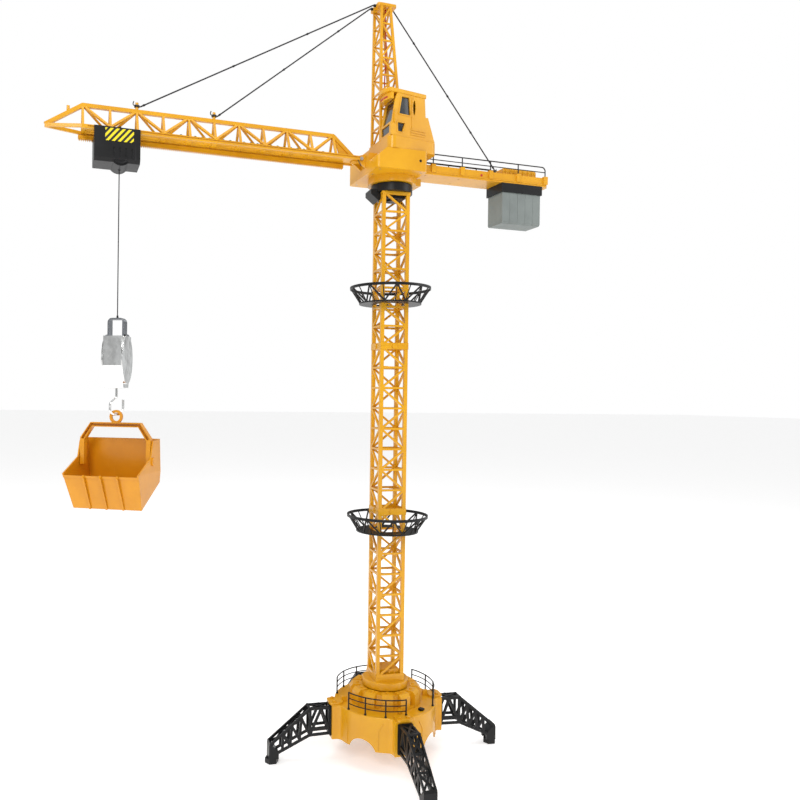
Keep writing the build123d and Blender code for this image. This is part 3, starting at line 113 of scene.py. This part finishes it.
class Finish:
    """A procedural finish on Object coordinates, with one method for every node."""

    def __init__(self, name):
        self.material = bpy.data.materials.new(name)
        self.material.use_nodes = True
        self.tree = self.material.node_tree
        self.shader = self.tree.nodes["Principled BSDF"]
        self.place = self.node("ShaderNodeTexCoord", output="Object")

    def node(self, kind, settings=None, sockets=None, output=0):
        made = self.tree.nodes.new(kind)
        for key, value in (settings or {}).items():
            if key == "stops":
                ramp = made.color_ramp
                for spot, colour in value[2:]:
                    ramp.elements.new(spot).color = (*colour, 1)
                for element, (spot, colour) in zip(ramp.elements, sorted(value)):
                    element.position, element.color = spot, (*colour, 1)
            else:
                setattr(made, key, value)
        for key, value in (sockets or {}).items():
            if isinstance(value, Strand):
                self.tree.links.new(value.socket, made.inputs[key])
            else:
                made.inputs[key].default_value = value
        return Strand(self, made.outputs[output])

    def cloud(self, scale, detail=3.0, roughness=0.5, place=None):
        """Noise of a number of lumps a metre."""
        sockets = {"Vector": place or self.place, "Scale": scale}
        sockets.update({"Detail": detail, "Roughness": roughness})
        return self.node("ShaderNodeTexNoise", {}, sockets)

    def stretched(self, scale, turn=(0, 0, 0)):
        """Object coordinates scaled and turned, for grain that runs one way."""
        sockets = {"Vector": self.place, "Scale": scale, "Rotation": turn}
        return self.node("ShaderNodeMapping", {}, sockets)

    def axes(self):
        """The three Object coordinates."""
        split = self.node("ShaderNodeSeparateXYZ", {}, {"Vector": self.place})
        outputs = split.socket.node.outputs
        return [Strand(self, outputs[name]) for name in "XYZ"]

    def blend(self, share, first, second):
        """Colour mix; the sockets are the factor and the two colours."""
        sockets = {0: share, 6: first, 7: second}
        return self.node("ShaderNodeMix", {"data_type": "RGBA"}, sockets, output=2)

    def step(self, value, low, high):
        """0 below low, 1 above high, smooth between."""
        sockets = {"Value": value, "From Min": low, "From Max": high}
        return self.node("ShaderNodeMapRange", {"interpolation_type": "SMOOTHSTEP"}, sockets)

    def bumps(self, *layers, edge=0.0):
        """Bump layers (height, strength, depth in metres) over rounded edges of a radius."""
        normal = None
        if edge:
            normal = self.node("ShaderNodeBevel", {"samples": 4}, {"Radius": edge})
        for height, strength, depth in layers:
            sockets = {"Height": height, "Strength": strength, "Distance": depth}
            if normal:
                sockets["Normal"] = normal
            normal = self.node("ShaderNodeBump", {}, sockets)
        return normal

    def coat(self, **values):
        """Sets the shader: a Strand is linked, a number or colour goes on the socket."""
        names = {
            "colour": "Base Color",
            "roughness": "Roughness",
            "metallic": "Metallic",
            "normal": "Normal",
            "coat": "Coat Weight",
            "coat_roughness": "Coat Roughness",
            "specular": "Specular IOR Level",
            "under": "Subsurface Weight",
            "light": "Emission Color",
            "glow": "Emission Strength",
        }
        for key, value in values.items():
            socket = self.shader.inputs[names[key]]
            if isinstance(value, Strand):
                self.tree.links.new(value.socket, socket)
            else:
                socket.default_value = value
        return self


# ---- finishes -----------------------------------------------------------------------------
def moulded_plastic(name, colour, shade, roughness, edge=0.0005, spread=0.05, sheen=0.5):
    """Injection-moulded plastic: flow marks, specks of dust, fine grain and handling scuffs."""
    finish = Finish(name)
    flow = finish.cloud(14, 4, 0.6)
    grain = finish.cloud(1700, 2)
    swirl = finish.cloud(60, 5, 0.65, finish.stretched((1, 1, 0.35)))
    leaning = finish.stretched((1, 1, 0.08), (0.4, 0.7, 0))
    scuff = finish.step(finish.cloud(260, 2, 0.5, leaning), 0.66, 0.74)
    speck = finish.step(finish.cloud(900, 1), 0.70, 0.78)
    worn = finish.blend(finish.step(flow, 0.3, 0.7), (*shade, 1), (*colour, 1))
    dust = [min(1, part * 1.3 + 0.08) for part in colour]
    dusty = finish.blend(speck * 0.10 + scuff * 0.08, worn, (*dust, 1))
    relief = [(grain, 0.10, 0.00006), (swirl, 0.08, 0.0003), (scuff, 0.05, 0.00005)]
    return finish.coat(
        colour=dusty,
        roughness=roughness + (swirl - 0.5) * spread * 2 + scuff * 0.12,
        normal=finish.bumps(*relief, edge=edge),
        specular=sheen,
    )


def crane_yellow():
    bright, dull = (0.72, 0.355, 0.006), (0.64, 0.295, 0.004)
    finish = moulded_plastic("crane_yellow", bright, dull, 0.30, sheen=0.4)
    return finish.coat(coat=0.15, coat_roughness=0.14)


def bucket_orange():
    bright, dull = (0.70, 0.29, 0.005), (0.60, 0.235, 0.004)
    finish = moulded_plastic("bucket_orange", bright, dull, 0.32, sheen=0.4)
    return finish.coat(coat=0.15, coat_roughness=0.15)


def moulded_black():
    bright, dull = (0.008, 0.008, 0.009), (0.005, 0.005, 0.005)
    return moulded_plastic("moulded_black", bright, dull, 0.38, spread=0.08, sheen=0.28)


def slab_grey():
    return moulded_plastic("slab_grey", (0.20, 0.225, 0.215), (0.155, 0.175, 0.168), 0.55, spread=0.07)


def plated_chrome():
    """Vacuum-plated plastic: soft ripples, smudges, and a dark strap over the top."""
    finish = Finish("plated_chrome")
    _, _, z = finish.axes()
    ripple = finish.cloud(46, 2, 0.4)
    smudge = finish.step(finish.cloud(130, 4, 0.6), 0.5, 0.75)
    pitting = finish.cloud(800, 2)
    strap = finish.step(z, 0.6968, 0.6975)
    tarnish = finish.blend(smudge * 0.35, (0.86, 0.86, 0.85, 1), (0.62, 0.60, 0.57, 1))
    return finish.coat(
        colour=finish.blend(strap, tarnish, (0.30, 0.31, 0.33, 1)),
        metallic=1.0,
        roughness=0.07 + smudge * 0.12 + strap * 0.10,
        normal=finish.bumps((ripple, 0.35, 0.0012), (pitting, 0.05, 0.00005), edge=0.0007),
    )


def tinted_pane():
    finish = Finish("tinted_pane")
    film = finish.step(finish.cloud(70, 4, 0.6), 0.35, 0.75)
    return finish.coat(
        colour=finish.blend(film, (0.010, 0.011, 0.013, 1), (0.026, 0.029, 0.033, 1)),
        roughness=0.06 + film * 0.10,
        normal=finish.bumps((finish.cloud(120, 2), 0.05, 0.0003)),
        coat=0.5,
    )


def frosted_lamp():
    finish = Finish("frosted_lamp")
    frost = finish.cloud(900, 2)
    return finish.coat(
        colour=finish.blend(frost, (0.86, 0.80, 0.62, 1), (0.95, 0.92, 0.80, 1)),
        roughness=0.25 + frost * 0.2,
        normal=finish.bumps((frost, 0.12, 0.0001)),
        under=0.2,
    )


def bright_steel():
    finish = Finish("bright_steel")
    lines = finish.cloud(500, 3, 0.6, finish.stretched((0.06, 1, 1)))
    return finish.coat(
        colour=finish.blend(lines, (0.42, 0.42, 0.43, 1), (0.62, 0.62, 0.63, 1)),
        metallic=1.0,
        roughness=0.22 + lines * 0.2,
        normal=finish.bumps((lines, 0.1, 0.00005)),
    )


def natural_nylon():
    return moulded_plastic("natural_nylon", (0.80, 0.77, 0.68), (0.72, 0.69, 0.60), 0.42)


def board_green():
    finish = Finish("board_green")
    x, y, _ = finish.axes()
    tracks = finish.step((x * 400).part(), 0.62, 0.70) + finish.step((y * 330).part(), 0.66, 0.72)
    return finish.coat(
        colour=finish.blend(tracks * 0.4, (0.012, 0.12, 0.04, 1), (0.03, 0.24, 0.09, 1)),
        roughness=0.3 + finish.cloud(300) * 0.1,
        normal=finish.bumps((tracks, 0.2, 0.0001)),
    )


def motor_can():
    finish = Finish("motor_can")
    drawn = finish.cloud(700, 3, 0.6, finish.stretched((1, 0.05, 1)))
    return finish.coat(
        colour=finish.blend(drawn, (0.36, 0.37, 0.39, 1), (0.56, 0.57, 0.59, 1)),
        metallic=0.9,
        roughness=0.3 + drawn * 0.15,
        normal=finish.bumps((drawn, 0.12, 0.00006)),
    )


def cell_sleeve():
    finish = Finish("cell_sleeve")
    x, _, _ = finish.axes()
    band = finish.step(x, 0.012, 0.0125)
    return finish.coat(
        colour=finish.blend(band, (0.03, 0.035, 0.05, 1), (0.45, 0.28, 0.10, 1)),
        roughness=0.25 + finish.cloud(400) * 0.15,
        normal=finish.bumps((finish.cloud(200), 0.06, 0.0001)),
    )


def hazard_stripes():
    """Printed warning stripes, leaning, on a satin label."""
    finish = Finish("hazard_stripes")
    x, _, z = finish.axes()
    lean = ((x + z * 0.85) / 0.0088 + 0.18).part()
    ink = finish.step(lean, 0.47, 0.50) - finish.step(lean, 0.97, 1.0)
    fade = finish.step(finish.cloud(350, 3), 0.55, 0.75)
    yellow = finish.blend(fade * 0.3, (0.80, 0.66, 0.010, 1), (0.66, 0.52, 0.02, 1))
    return finish.coat(
        colour=finish.blend(ink, (0.012, 0.012, 0.012, 1), yellow),
        roughness=0.3 + fade * 0.15,
        normal=finish.bumps((finish.cloud(1200, 2), 0.08, 0.00005)),
        coat=0.2,
    )


def braided_cord():
    """Black braid: two crossing sets of strands read as small lumps."""
    finish = Finish("braided_cord")
    x, y, z = finish.axes()
    weave = ((x + z) * 420).part() * 0.5 + ((x - z) * 420 + y * 300).part() * 0.5
    fuzz = finish.cloud(2500, 2)
    return finish.coat(
        colour=finish.blend(weave, (0.006, 0.006, 0.007, 1), (0.026, 0.025, 0.028, 1)),
        roughness=0.72 + fuzz * 0.15,
        normal=finish.bumps((weave, 0.5, 0.0003), (fuzz, 0.2, 0.0001)),
    )


def coated_wire():
    finish = Finish("coated_wire")
    drawn = finish.cloud(420, 3)
    return finish.coat(
        colour=finish.blend(drawn, (0.008, 0.008, 0.010, 1), (0.020, 0.020, 0.024, 1)),
        roughness=0.35 + drawn * 0.15,
        normal=finish.bumps((drawn, 0.1, 0.0001)),
    )


def lead_red():
    finish = Finish("lead_red")
    drawn = finish.cloud(500, 3)
    return finish.coat(
        colour=finish.blend(drawn, (0.34, 0.012, 0.010, 1), (0.52, 0.022, 0.016, 1)),
        roughness=0.36 + drawn * 0.15,
        normal=finish.bumps((drawn, 0.1, 0.0001)),
    )


finishes = {
    "crane_yellow": crane_yellow(),
    "bucket_orange": bucket_orange(),
    "black_plastic": moulded_black(),
    "slab_grey": slab_grey(),
    "chrome": plated_chrome(),
    "window_pane": tinted_pane(),
    "lamp_clear": frosted_lamp(),
    "steel": bright_steel(),
    "gear_nylon": natural_nylon(),
    "circuit_green": board_green(),
    "motor_case": motor_can(),
    "battery_case": cell_sleeve(),
    "hazard": hazard_stripes(),
    "cord_black": braided_cord(),
    "wire_black": coated_wire(),
    "lead_red": lead_red(),
}
made_of = {
    "black_plastic": "power_switch leg_1 leg_2 leg_3 leg_4 foot_pads deck_railings basket_lower "
                     "basket_upper slew_ring slew_spindle head_knobs ballast_holder counter_railing "
                     "pendant_fittings trolley_housing",
    "gear_nylon": "slew_gear slew_pinion travel_pinion winch_drum",
    "motor_case": "slew_motor trolley_motors",
    "battery_case": "batteries",
    "circuit_green": "circuit_board",
    "window_pane": "cab_windows",
    "lamp_clear": "top_lamp",
    "steel": "jib_pin",
    "slab_grey": "counterweight",
    "hazard": "hazard_plates",
    "chrome": "hook_block hook",
    "cord_black": "pendant_long pendant_short pendant_rear hoist_line",
    "wire_black": "signal_coil",
    "bucket_orange": "bucket bucket_bail",
}
finish_of = {node: finish for finish, names in made_of.items() for node in names.split()}
for name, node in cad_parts.items():
    material = finishes[finish_of.get(name, "crane_yellow")].material
    if not node.material_slots:
        node.data.materials.append(material)
    for holder in node.material_slots:
        holder.material = material

# ---- modelling by hand --------------------------------------------------------------------


def fresh():
    """Nothing selected and object mode, before a primitive is added."""
    if bpy.context.object and bpy.context.object.mode != "OBJECT":
        bpy.ops.object.mode_set(mode="OBJECT")
    bpy.ops.object.select_all(action="DESELECT")


def pick_faces(piece, wanted):
    """Selects the faces that pass a test of their centre and normal, ready for an edit-mode operator."""
    bpy.ops.object.mode_set(mode="EDIT")
    bpy.ops.mesh.select_mode(type="FACE")
    bpy.ops.mesh.select_all(action="DESELECT")
    bpy.ops.object.mode_set(mode="OBJECT")
    for face in piece.data.polygons:
        face.select = bool(wanted(face.center, face.normal))
    bpy.ops.object.mode_set(mode="EDIT")


def seat(piece, spot, along=None, spin=0.0):
    """Carries a piece modelled at the origin to a spot, its +Z along a direction, in its mesh."""
    bpy.ops.object.mode_set(mode="OBJECT")
    turn = Matrix.Identity(4)
    if along:
        turn = Vector(along).to_track_quat("Z", "Y").to_matrix().to_4x4()
    piece.data.transform(Matrix.Translation(Vector(spot)) @ turn @ Matrix.Rotation(spin, 4, "Z"))
    piece.matrix_world = Matrix.Identity(4)


def dress(piece, name, finish, body, stands_for=()):
    """Names a piece, gives it its finish, body and material slot, and hides the nodes it stands for."""
    piece.name = name
    piece.data.name = name
    piece.data.materials.clear()
    piece.data.materials.append(finishes[finish].material)
    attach(piece, body)
    if stands_for:
        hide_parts(*stands_for)
    return piece


def smoothed(piece, angle=40):
    """Smooth shading up to an angle in degrees."""
    fresh()
    piece.select_set(True)
    bpy.context.view_layer.objects.active = piece
    bpy.ops.object.shade_smooth_by_angle(angle=radians(angle))


def finished(piece, kind, **settings):
    """Adds a modifier and applies it."""
    fresh()
    piece.select_set(True)
    bpy.context.view_layer.objects.active = piece
    added = piece.modifiers.new(kind.title(), kind)
    for key, value in settings.items():
        setattr(added, key, value)
    bpy.ops.object.modifier_apply(modifier=added.name)


def copy_of(piece, name, move):
    """A copy with its own mesh, shifted in its mesh."""
    other = piece.copy()
    other.data = piece.data.copy()
    bpy.context.collection.objects.link(other)
    other.data.transform(Matrix.Translation(Vector(move)))
    other.name = name
    return other


def screw_head(name, spot, along, radius):
    """Countersunk screw with a cross recess."""
    fresh()
    bpy.ops.mesh.primitive_cylinder_add(vertices=24, radius=radius, depth=radius * 0.6)
    head = bpy.context.object
    pick_faces(head, lambda centre, normal: normal.z > 0.9)
    bpy.ops.mesh.inset(thickness=radius * 0.2)
    bpy.ops.transform.translate(value=(0, 0, radius * 0.12))
    bpy.ops.object.mode_set(mode="OBJECT")
    for turn in (0, pi / 2):
        fresh()
        bpy.ops.mesh.primitive_cube_add(size=1, location=(0, 0, radius * 0.35))
        blade = bpy.context.object
        bpy.ops.transform.resize(value=(radius * 1.25, radius * 0.28, radius * 0.5))
        blade.rotation_euler.z = turn
        fresh()
        head.select_set(True)
        bpy.context.view_layer.objects.active = head
        cut = head.modifiers.new("Cut", "BOOLEAN")
        cut.object = blade
        bpy.ops.object.modifier_apply(modifier="Cut")
        bpy.data.objects.remove(blade)
    seat(head, spot, along)
    smoothed(head, 35)
    head.name = name
    return head


def bent_wire(name, points, radius, order=4, resolution=6):
    """Wire along a NURBS path, turned to a mesh."""
    wire = cord_line(name, points, radius, order, resolution)
    fresh()
    wire.select_set(True)
    bpy.context.view_layer.objects.active = wire
    bpy.ops.object.convert(target="MESH")
    made = bpy.context.object
    made.name = name
    return made


def cord_line(name, points, radius, order=3, resolution=8):
    """Curve of one open NURBS spline with a round section."""
    curve = bpy.data.curves.new(name, "CURVE")
    curve.dimensions = "3D"
    spline = curve.splines.new("NURBS")
    spline.points.add(len(points) - 1)
    for point, place in zip(spline.points, points):
        point.co = (*place, 1)
    spline.order_u = order
    spline.use_endpoint_u = True
    spline.resolution_u = resolution
    curve.resolution_u = resolution
    curve.bevel_depth = radius
    curve.bevel_resolution = 3
    curve.use_fill_caps = True
    piece = bpy.data.objects.new(name, curve)
    bpy.context.collection.objects.link(piece)
    return piece


def points_on(start, end, *shares):
    """The ends of a straight run and the points at some shares of it."""
    start, end = Vector(start), Vector(end)
    return [start.lerp(end, share) for share in (0, *shares, 1)]


def knot(name, spot, along, radius):
    """Bead of whipped cord: a ball drawn out along the line with its wraps pinched in."""
    fresh()
    bpy.ops.mesh.primitive_uv_sphere_add(segments=16, ring_count=12, radius=radius)
    bead = bpy.context.object
    pick_faces(bead, lambda centre, normal: True)
    bpy.ops.transform.resize(value=(1, 1, 1.7))
    pick_faces(bead, lambda centre, normal: abs(abs(centre.z) - radius * 0.5) < radius * 0.22)
    bpy.ops.transform.resize(value=(0.86, 0.86, 1))
    seat(bead, spot, along)
    finished(bead, "SUBSURF", levels=1, render_levels=1)
    smoothed(bead, 60)
    return bead


# ---- pendants -----------------------------------------------------------------------------
head_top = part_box("head_cap")[0].z
knob_z, peg_z = 1.2705, 1.0525
stays = {
    "pendant_long": (Vector((0.0416, 0.006, knob_z)), Vector((0.4265, 0, peg_z)), (0.30, 0.62)),
    "pendant_short": (Vector((0.0416, -0.006, knob_z)), Vector((0.3056, 0, peg_z)), (0.22, 0.58)),
    "pendant_rear": (Vector((0.0020, 0, knob_z)), Vector((-0.188, 0.020, 1.0129)), (0.20, 0.53, 0.76)),
}
stay_radius, hook_radius = 0.0011, 0.0008
for name, (start, end, knots) in stays.items():
    low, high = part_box(name)
    start.x = low.x + 0.0006 if end.x > start.x else high.x - 0.0006
    along = end - start
    cord = cord_line(f"{name}_cord", points_on(start, end, 0.33, 0.67), stay_radius)
    for k, share in enumerate((*knots, 0.985)):
        bead = knot(f"{name}_knot_{k}", start + along * share, along, 0.0019)
        dress(bead, f"{name}_knot_{k}", "cord_black", "turntable")
    dress(cord, f"{name}_cord", "cord_black", "turntable", stands_for=(name,))

for name, peg_x in (("long", 0.4314), ("short", 0.3105)):
    hook = bent_wire(f"stay_hook_{name}", [
        (peg_x - 0.0048, 0.0002, peg_z + 0.0004),
        (peg_x - 0.0052, 0.0026, peg_z - 0.0012),
        (peg_x - 0.0008, 0.0052, peg_z - 0.0004),
        (peg_x + 0.0046, 0.0032, peg_z + 0.0002),
        (peg_x + 0.0058, 0.0006, peg_z + 0.0014),
        (peg_x + 0.0062, 0.0002, peg_z + 0.0046),
        (peg_x + 0.0048, 0.0002, peg_z + 0.0074),
    ], hook_radius)
    smoothed(hook, 60)
    dress(hook, f"stay_hook_{name}", "wire_black", "turntable")
hook = bent_wire("stay_hook_rear", [
    (-0.1868, 0.0200, 1.0130),
    (-0.1885, 0.0203, 1.0112),
    (-0.1900, 0.0215, 1.0100),
    (-0.1912, 0.0218, 1.0118),
    (-0.1906, 0.0212, 1.0138),
], hook_radius)
smoothed(hook, 60)
dress(hook, "stay_hook_rear", "wire_black", "turntable")

# ---- signal cable -------------------------------------------------------------------------
coil_low, coil_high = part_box("signal_coil")
coil_y, coil_z = 0.0, (coil_low.z + coil_high.z) / 2
coil_end, wire_radius, coil_radius, turns = 0.383, 0.0007, 0.0031, 24
guide_start = (coil_low.x + 0.001, coil_y, coil_z)
guide_end = (coil_high.x - 0.001, coil_y, coil_z)
guide = cord_line("coil_guide", points_on(guide_start, guide_end, 0.3, 0.7), 0)
rail = bpy.data.meshes.new_from_object(guide)
way = [vertex.co.copy() for vertex in rail.vertices]
bpy.data.objects.remove(guide)
path = []
span = coil_end - way[0].x
steps = turns * 16
for k in range(steps + 1):
    share = k / steps
    swing = coil_radius * min(1, share * 18, (1 - share) * 18)
    angle = 2 * pi * turns * share
    aside, above = swing * cos(angle) * 0.9, swing * sin(angle)
    path.append(Vector((way[0].x + span * share, coil_y + aside, coil_z + above)))
path += [spot for spot in way if spot.x > coil_end + 0.004]
cable = bent_wire("signal_cable", path, wire_radius, order=3, resolution=2)
smoothed(cable, 60)
dress(cable, "signal_cable", "wire_black", "turntable", stands_for=("signal_coil",))
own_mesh(cable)

# ---- hoist line ---------------------------------------------------------------------------
line_low, line_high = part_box("hoist_line")
middle = (line_low + line_high) / 2
line_top = (middle.x, middle.y, line_high.z - 0.0005)
line_foot = (middle.x, middle.y, line_low.z + 0.0005)
hoist = bent_wire("hoist_cord", points_on(line_top, line_foot, 0.3, 0.6), 0.0008)
smoothed(hoist, 60)
hoist.data.materials.clear()
hoist.data.materials.append(finishes["cord_black"].material)
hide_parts("hoist_line")
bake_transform(hoist)
bead = knot("hoist_knot", (middle.x, middle.y, line_low.z + 0.0016), (0, 0, 1), 0.0019)
dress(bead, "hoist_knot", "cord_black", "block")

# ---- cab ----------------------------------------------------------------------------------


def fascia_stripe(name, first_y, last_y, z, height):
    """Thin strip laid on the curved fascia over the windscreen."""
    fresh()
    bpy.ops.mesh.primitive_grid_add(x_subdivisions=16, y_subdivisions=2, size=1)
    strip = bpy.context.object
    centre_x, centre_y, reach = 0.003154, 0.042, 0.034846
    for vertex in strip.data.vertices:
        y = first_y + (last_y - first_y) * (vertex.co.x + 0.5)
        x = centre_x + sqrt(reach * reach - (y - centre_y) ** 2) + 0.0003
        vertex.co = (x, y, z + height * vertex.co.y)
    bpy.ops.object.mode_set(mode="EDIT")
    bpy.ops.mesh.select_all(action="SELECT")
    bpy.ops.mesh.normals_make_consistent(inside=False)
    bpy.ops.object.mode_set(mode="OBJECT")
    finished(strip, "SOLIDIFY", thickness=0.0005, offset=0)
    return dress(strip, name, "lead_red", "turntable")


fascia_stripe("fascia_stripe_0", 0.0345, 0.0440, 1.0990, 0.0026)
fascia_stripe("fascia_stripe_1", 0.0462, 0.0560, 1.0990, 0.0026)


def red_dot(spot):
    """Small domed marker on the side of the deck."""
    fresh()
    bpy.ops.mesh.primitive_cylinder_add(vertices=24, radius=0.0021, depth=0.0012)
    dot = bpy.context.object
    pick_faces(dot, lambda centre, normal: normal.z > 0.9)
    bpy.ops.mesh.inset(thickness=0.0006)
    bpy.ops.transform.translate(value=(0, 0, 0.0005))
    seat(dot, spot, (0, 1, 0))
    smoothed(dot, 30)
    return dress(dot, "deck_marker", "lead_red", "turntable")


deck_low, deck_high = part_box("counter_jib")
red_dot((-0.160, deck_high.y - 0.0030, 0.9995))

# ---- lamp lead down the head --------------------------------------------------------------
lead_top = Vector((0.018, 0.004, head_top))
lead_radius = 0.0010
lead = cord_line("lamp_lead", [
    lead_top,
    (0.018, 0.004, 1.24),
    (0.014, 0.002, 1.19),
    (0.016, -0.003, 1.14),
    (0.012, 0.001, 1.09),
    (0.010, 0.003, 1.0365),
], lead_radius)
dress(lead, "lamp_lead", "lead_red", "turntable")

# ---- root pin wire ------------------------------------------------------------------------
clip = bent_wire("root_clip", [
    (0.0710, 0.0135, 1.0085),
    (0.0690, 0.0150, 1.0040),
    (0.0665, 0.0175, 0.9985),
    (0.0650, 0.0195, 0.9935),
], 0.0007)
smoothed(clip, 60)
dress(clip, "root_clip", "wire_black", "turntable")

# ---- screws -------------------------------------------------------------------------------
house_low, house_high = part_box("turntable_housing")
first = screw_head("under_screw_0", (0.044, 0.050, house_low.z + 0.0008), (0, 0, -1), 0.0019)
for k, (x, y) in enumerate(((0.044, -0.050), (0.044, 0.020), (-0.028, 0.052), (-0.028, -0.052))):
    other = copy_of(first, f"under_screw_{k + 1}", (x - 0.044, y - 0.050, 0))
    dress(other, f"under_screw_{k + 1}", "steel", "turntable")
dress(first, "under_screw_0", "steel", "turntable")
cover_low, cover_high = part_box("counter_jib_cover")
first = screw_head("deck_screw_0", (-0.056, 0.015, cover_low.z + 0.0010), (0, 0, -1), 0.00135)
spots = [(x, y) for x in (-0.056, -0.120, -0.186, -0.290) for y in (0.015, -0.015)]
for k, (x, y) in enumerate(spots[1:]):
    other = copy_of(first, f"deck_screw_{k + 1}", (x + 0.056, y - 0.015, 0))
    dress(other, f"deck_screw_{k + 1}", "steel", "turntable")
dress(first, "deck_screw_0", "steel", "turntable")
side_spot = (-0.023, house_high.y - 0.0012, 0.999)
side = screw_head("side_screw", side_spot, (0, 1, 0), 0.0021)
dress(side, "side_screw", "black_plastic", "turntable")

# ---- trolley details ----------------------------------------------------------------------


def winch_cover(name, side):
    """Domed, ribbed cover over the winch on one face of the trolley."""
    fresh()
    bpy.ops.mesh.primitive_cylinder_add(vertices=48, radius=0.0125, depth=0.002)
    cover = bpy.context.object
    pick_faces(cover, lambda centre, normal: normal.z > 0.9)
    bpy.ops.mesh.inset(thickness=0.0016)
    bpy.ops.mesh.extrude_region_move(TRANSFORM_OT_translate={"value": (0, 0, -0.0007)})
    bpy.ops.mesh.inset(thickness=0.0028)
    bpy.ops.mesh.extrude_region_move(TRANSFORM_OT_translate={"value": (0, 0, 0.0009)})
    bpy.ops.mesh.inset(thickness=0.0030)
    bpy.ops.mesh.extrude_region_move(TRANSFORM_OT_translate={"value": (0, 0, -0.0006)})
    low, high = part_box("trolley_housing")
    middle_y = (low.y + high.y) / 2
    half = (high.y - low.y) / 2
    seat(cover, (0.457, middle_y + side * (half - 0.0031 + 0.0010), 0.967), (0, side, 0))
    finished(cover, "BEVEL", width=0.0003, segments=2, limit_method="ANGLE")
    smoothed(cover, 35)
    return dress(cover, name, "black_plastic", "trolley")


winch_cover("winch_cover_near", 1)
winch_cover("winch_cover_far", -1)
lever = bent_wire("trolley_lever", [
    (0.4700, 0.0235, 0.9960),
    (0.4712, 0.0240, 0.9985),
    (0.4712, 0.0245, 1.0040),
    (0.4700, 0.0248, 1.0075),
], 0.0009)
smoothed(lever, 60)
dress(lever, "trolley_lever", "black_plastic", "trolley")

# ---- floor, light, camera -----------------------------------------------------------------
fresh()
bpy.ops.mesh.primitive_plane_add(size=60, location=(0, 0, -0.0004))
floor = bpy.context.object
floor.name = "floor"
paper = Finish("floor_paper")
paper.coat(
    colour=paper.blend(paper.cloud(3), (0.90, 0.90, 0.90, 1), (0.92, 0.92, 0.92, 1)),
    roughness=0.85 + paper.cloud(40) * 0.1,
    specular=0.1,
    light=(1, 1, 1, 1),
    glow=0.36,
)
floor.data.materials.append(paper.material)
floor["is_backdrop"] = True

world = bpy.data.worlds.new("studio")
world.use_nodes = True
bpy.context.scene.world = world
sky = world.node_tree.nodes["Background"]
sky.inputs["Strength"].default_value = 1.0
links = world.node_tree.links
rays = world.node_tree.nodes.new("ShaderNodeLightPath")
patches = world.node_tree.nodes.new("ShaderNodeTexNoise")
patches.inputs["Scale"].default_value = 2.2
patches.inputs["Detail"].default_value = 1.0
tones = world.node_tree.nodes.new("ShaderNodeValToRGB")
dark, light = tones.color_ramp.elements
dark.position, dark.color = 0.38, (0.05, 0.045, 0.04, 1)
light.position, light.color = 0.56, (0.85, 0.87, 0.88, 1)
links.new(patches.outputs["Fac"], tones.inputs["Fac"])
glossy = world.node_tree.nodes.new("ShaderNodeMix")
glossy.data_type = "RGBA"
glossy.inputs[6].default_value = (0.62, 0.62, 0.62, 1)
links.new(rays.outputs["Is Glossy Ray"], glossy.inputs[0])
links.new(tones.outputs["Color"], glossy.inputs[7])
seen = world.node_tree.nodes.new("ShaderNodeMix")
seen.data_type = "RGBA"
seen.inputs[7].default_value = (1, 1, 1, 1)
links.new(rays.outputs["Is Camera Ray"], seen.inputs[0])
links.new(glossy.outputs[2], seen.inputs[6])
links.new(seen.outputs[2], sky.inputs["Color"])
bpy.context.scene.view_settings.view_transform = "Standard"


def soft_box(name, spot, target, size, power):
    lamp = bpy.data.lights.new(name, "AREA")
    lamp.energy, lamp.size = power, size
    box = bpy.data.objects.new(name, lamp)
    box.location = spot
    box.rotation_mode = "QUATERNION"
    box.rotation_quaternion = (Vector(target) - Vector(spot)).to_track_quat("-Z", "Y")
    bpy.context.collection.objects.link(box)


soft_box("key", (1.5, 2.3, 2.4), (0.1, 0, 0.7), 1.2, 44)
soft_box("side", (-2.2, 1.2, 1.6), (0, 0, 0.7), 1.4, 14)
soft_box("top", (0.2, -0.4, 3.2), (0.1, 0, 0.4), 2.0, 34)

level_forward, level_right = Vector((-0.3023, -0.9532, 0)), Vector((-0.9532, 0.3023, 0))
pitch, roll = radians(-0.33), radians(0.75)
forward = level_forward * cos(pitch) + Vector((0, 0, sin(pitch)))
upright = Vector((0, 0, cos(pitch))) - level_forward * sin(pitch)
right = level_right * cos(roll) + upright * sin(roll)
up = upright * cos(roll) - level_right * sin(roll)
lens = bpy.data.cameras.new("view")
lens.lens, lens.sensor_width = 34.33, 36
lens.shift_x, lens.shift_y = 0.134, 0.0027
camera = bpy.data.objects.new("view", lens)
placed = Matrix((right, up, -forward)).transposed().to_4x4()
placed.translation = Vector((0.55309, 1.19902, 0.60634))
camera.matrix_world = placed
bpy.context.collection.objects.link(camera)
bpy.context.scene.camera = camera

low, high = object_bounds()
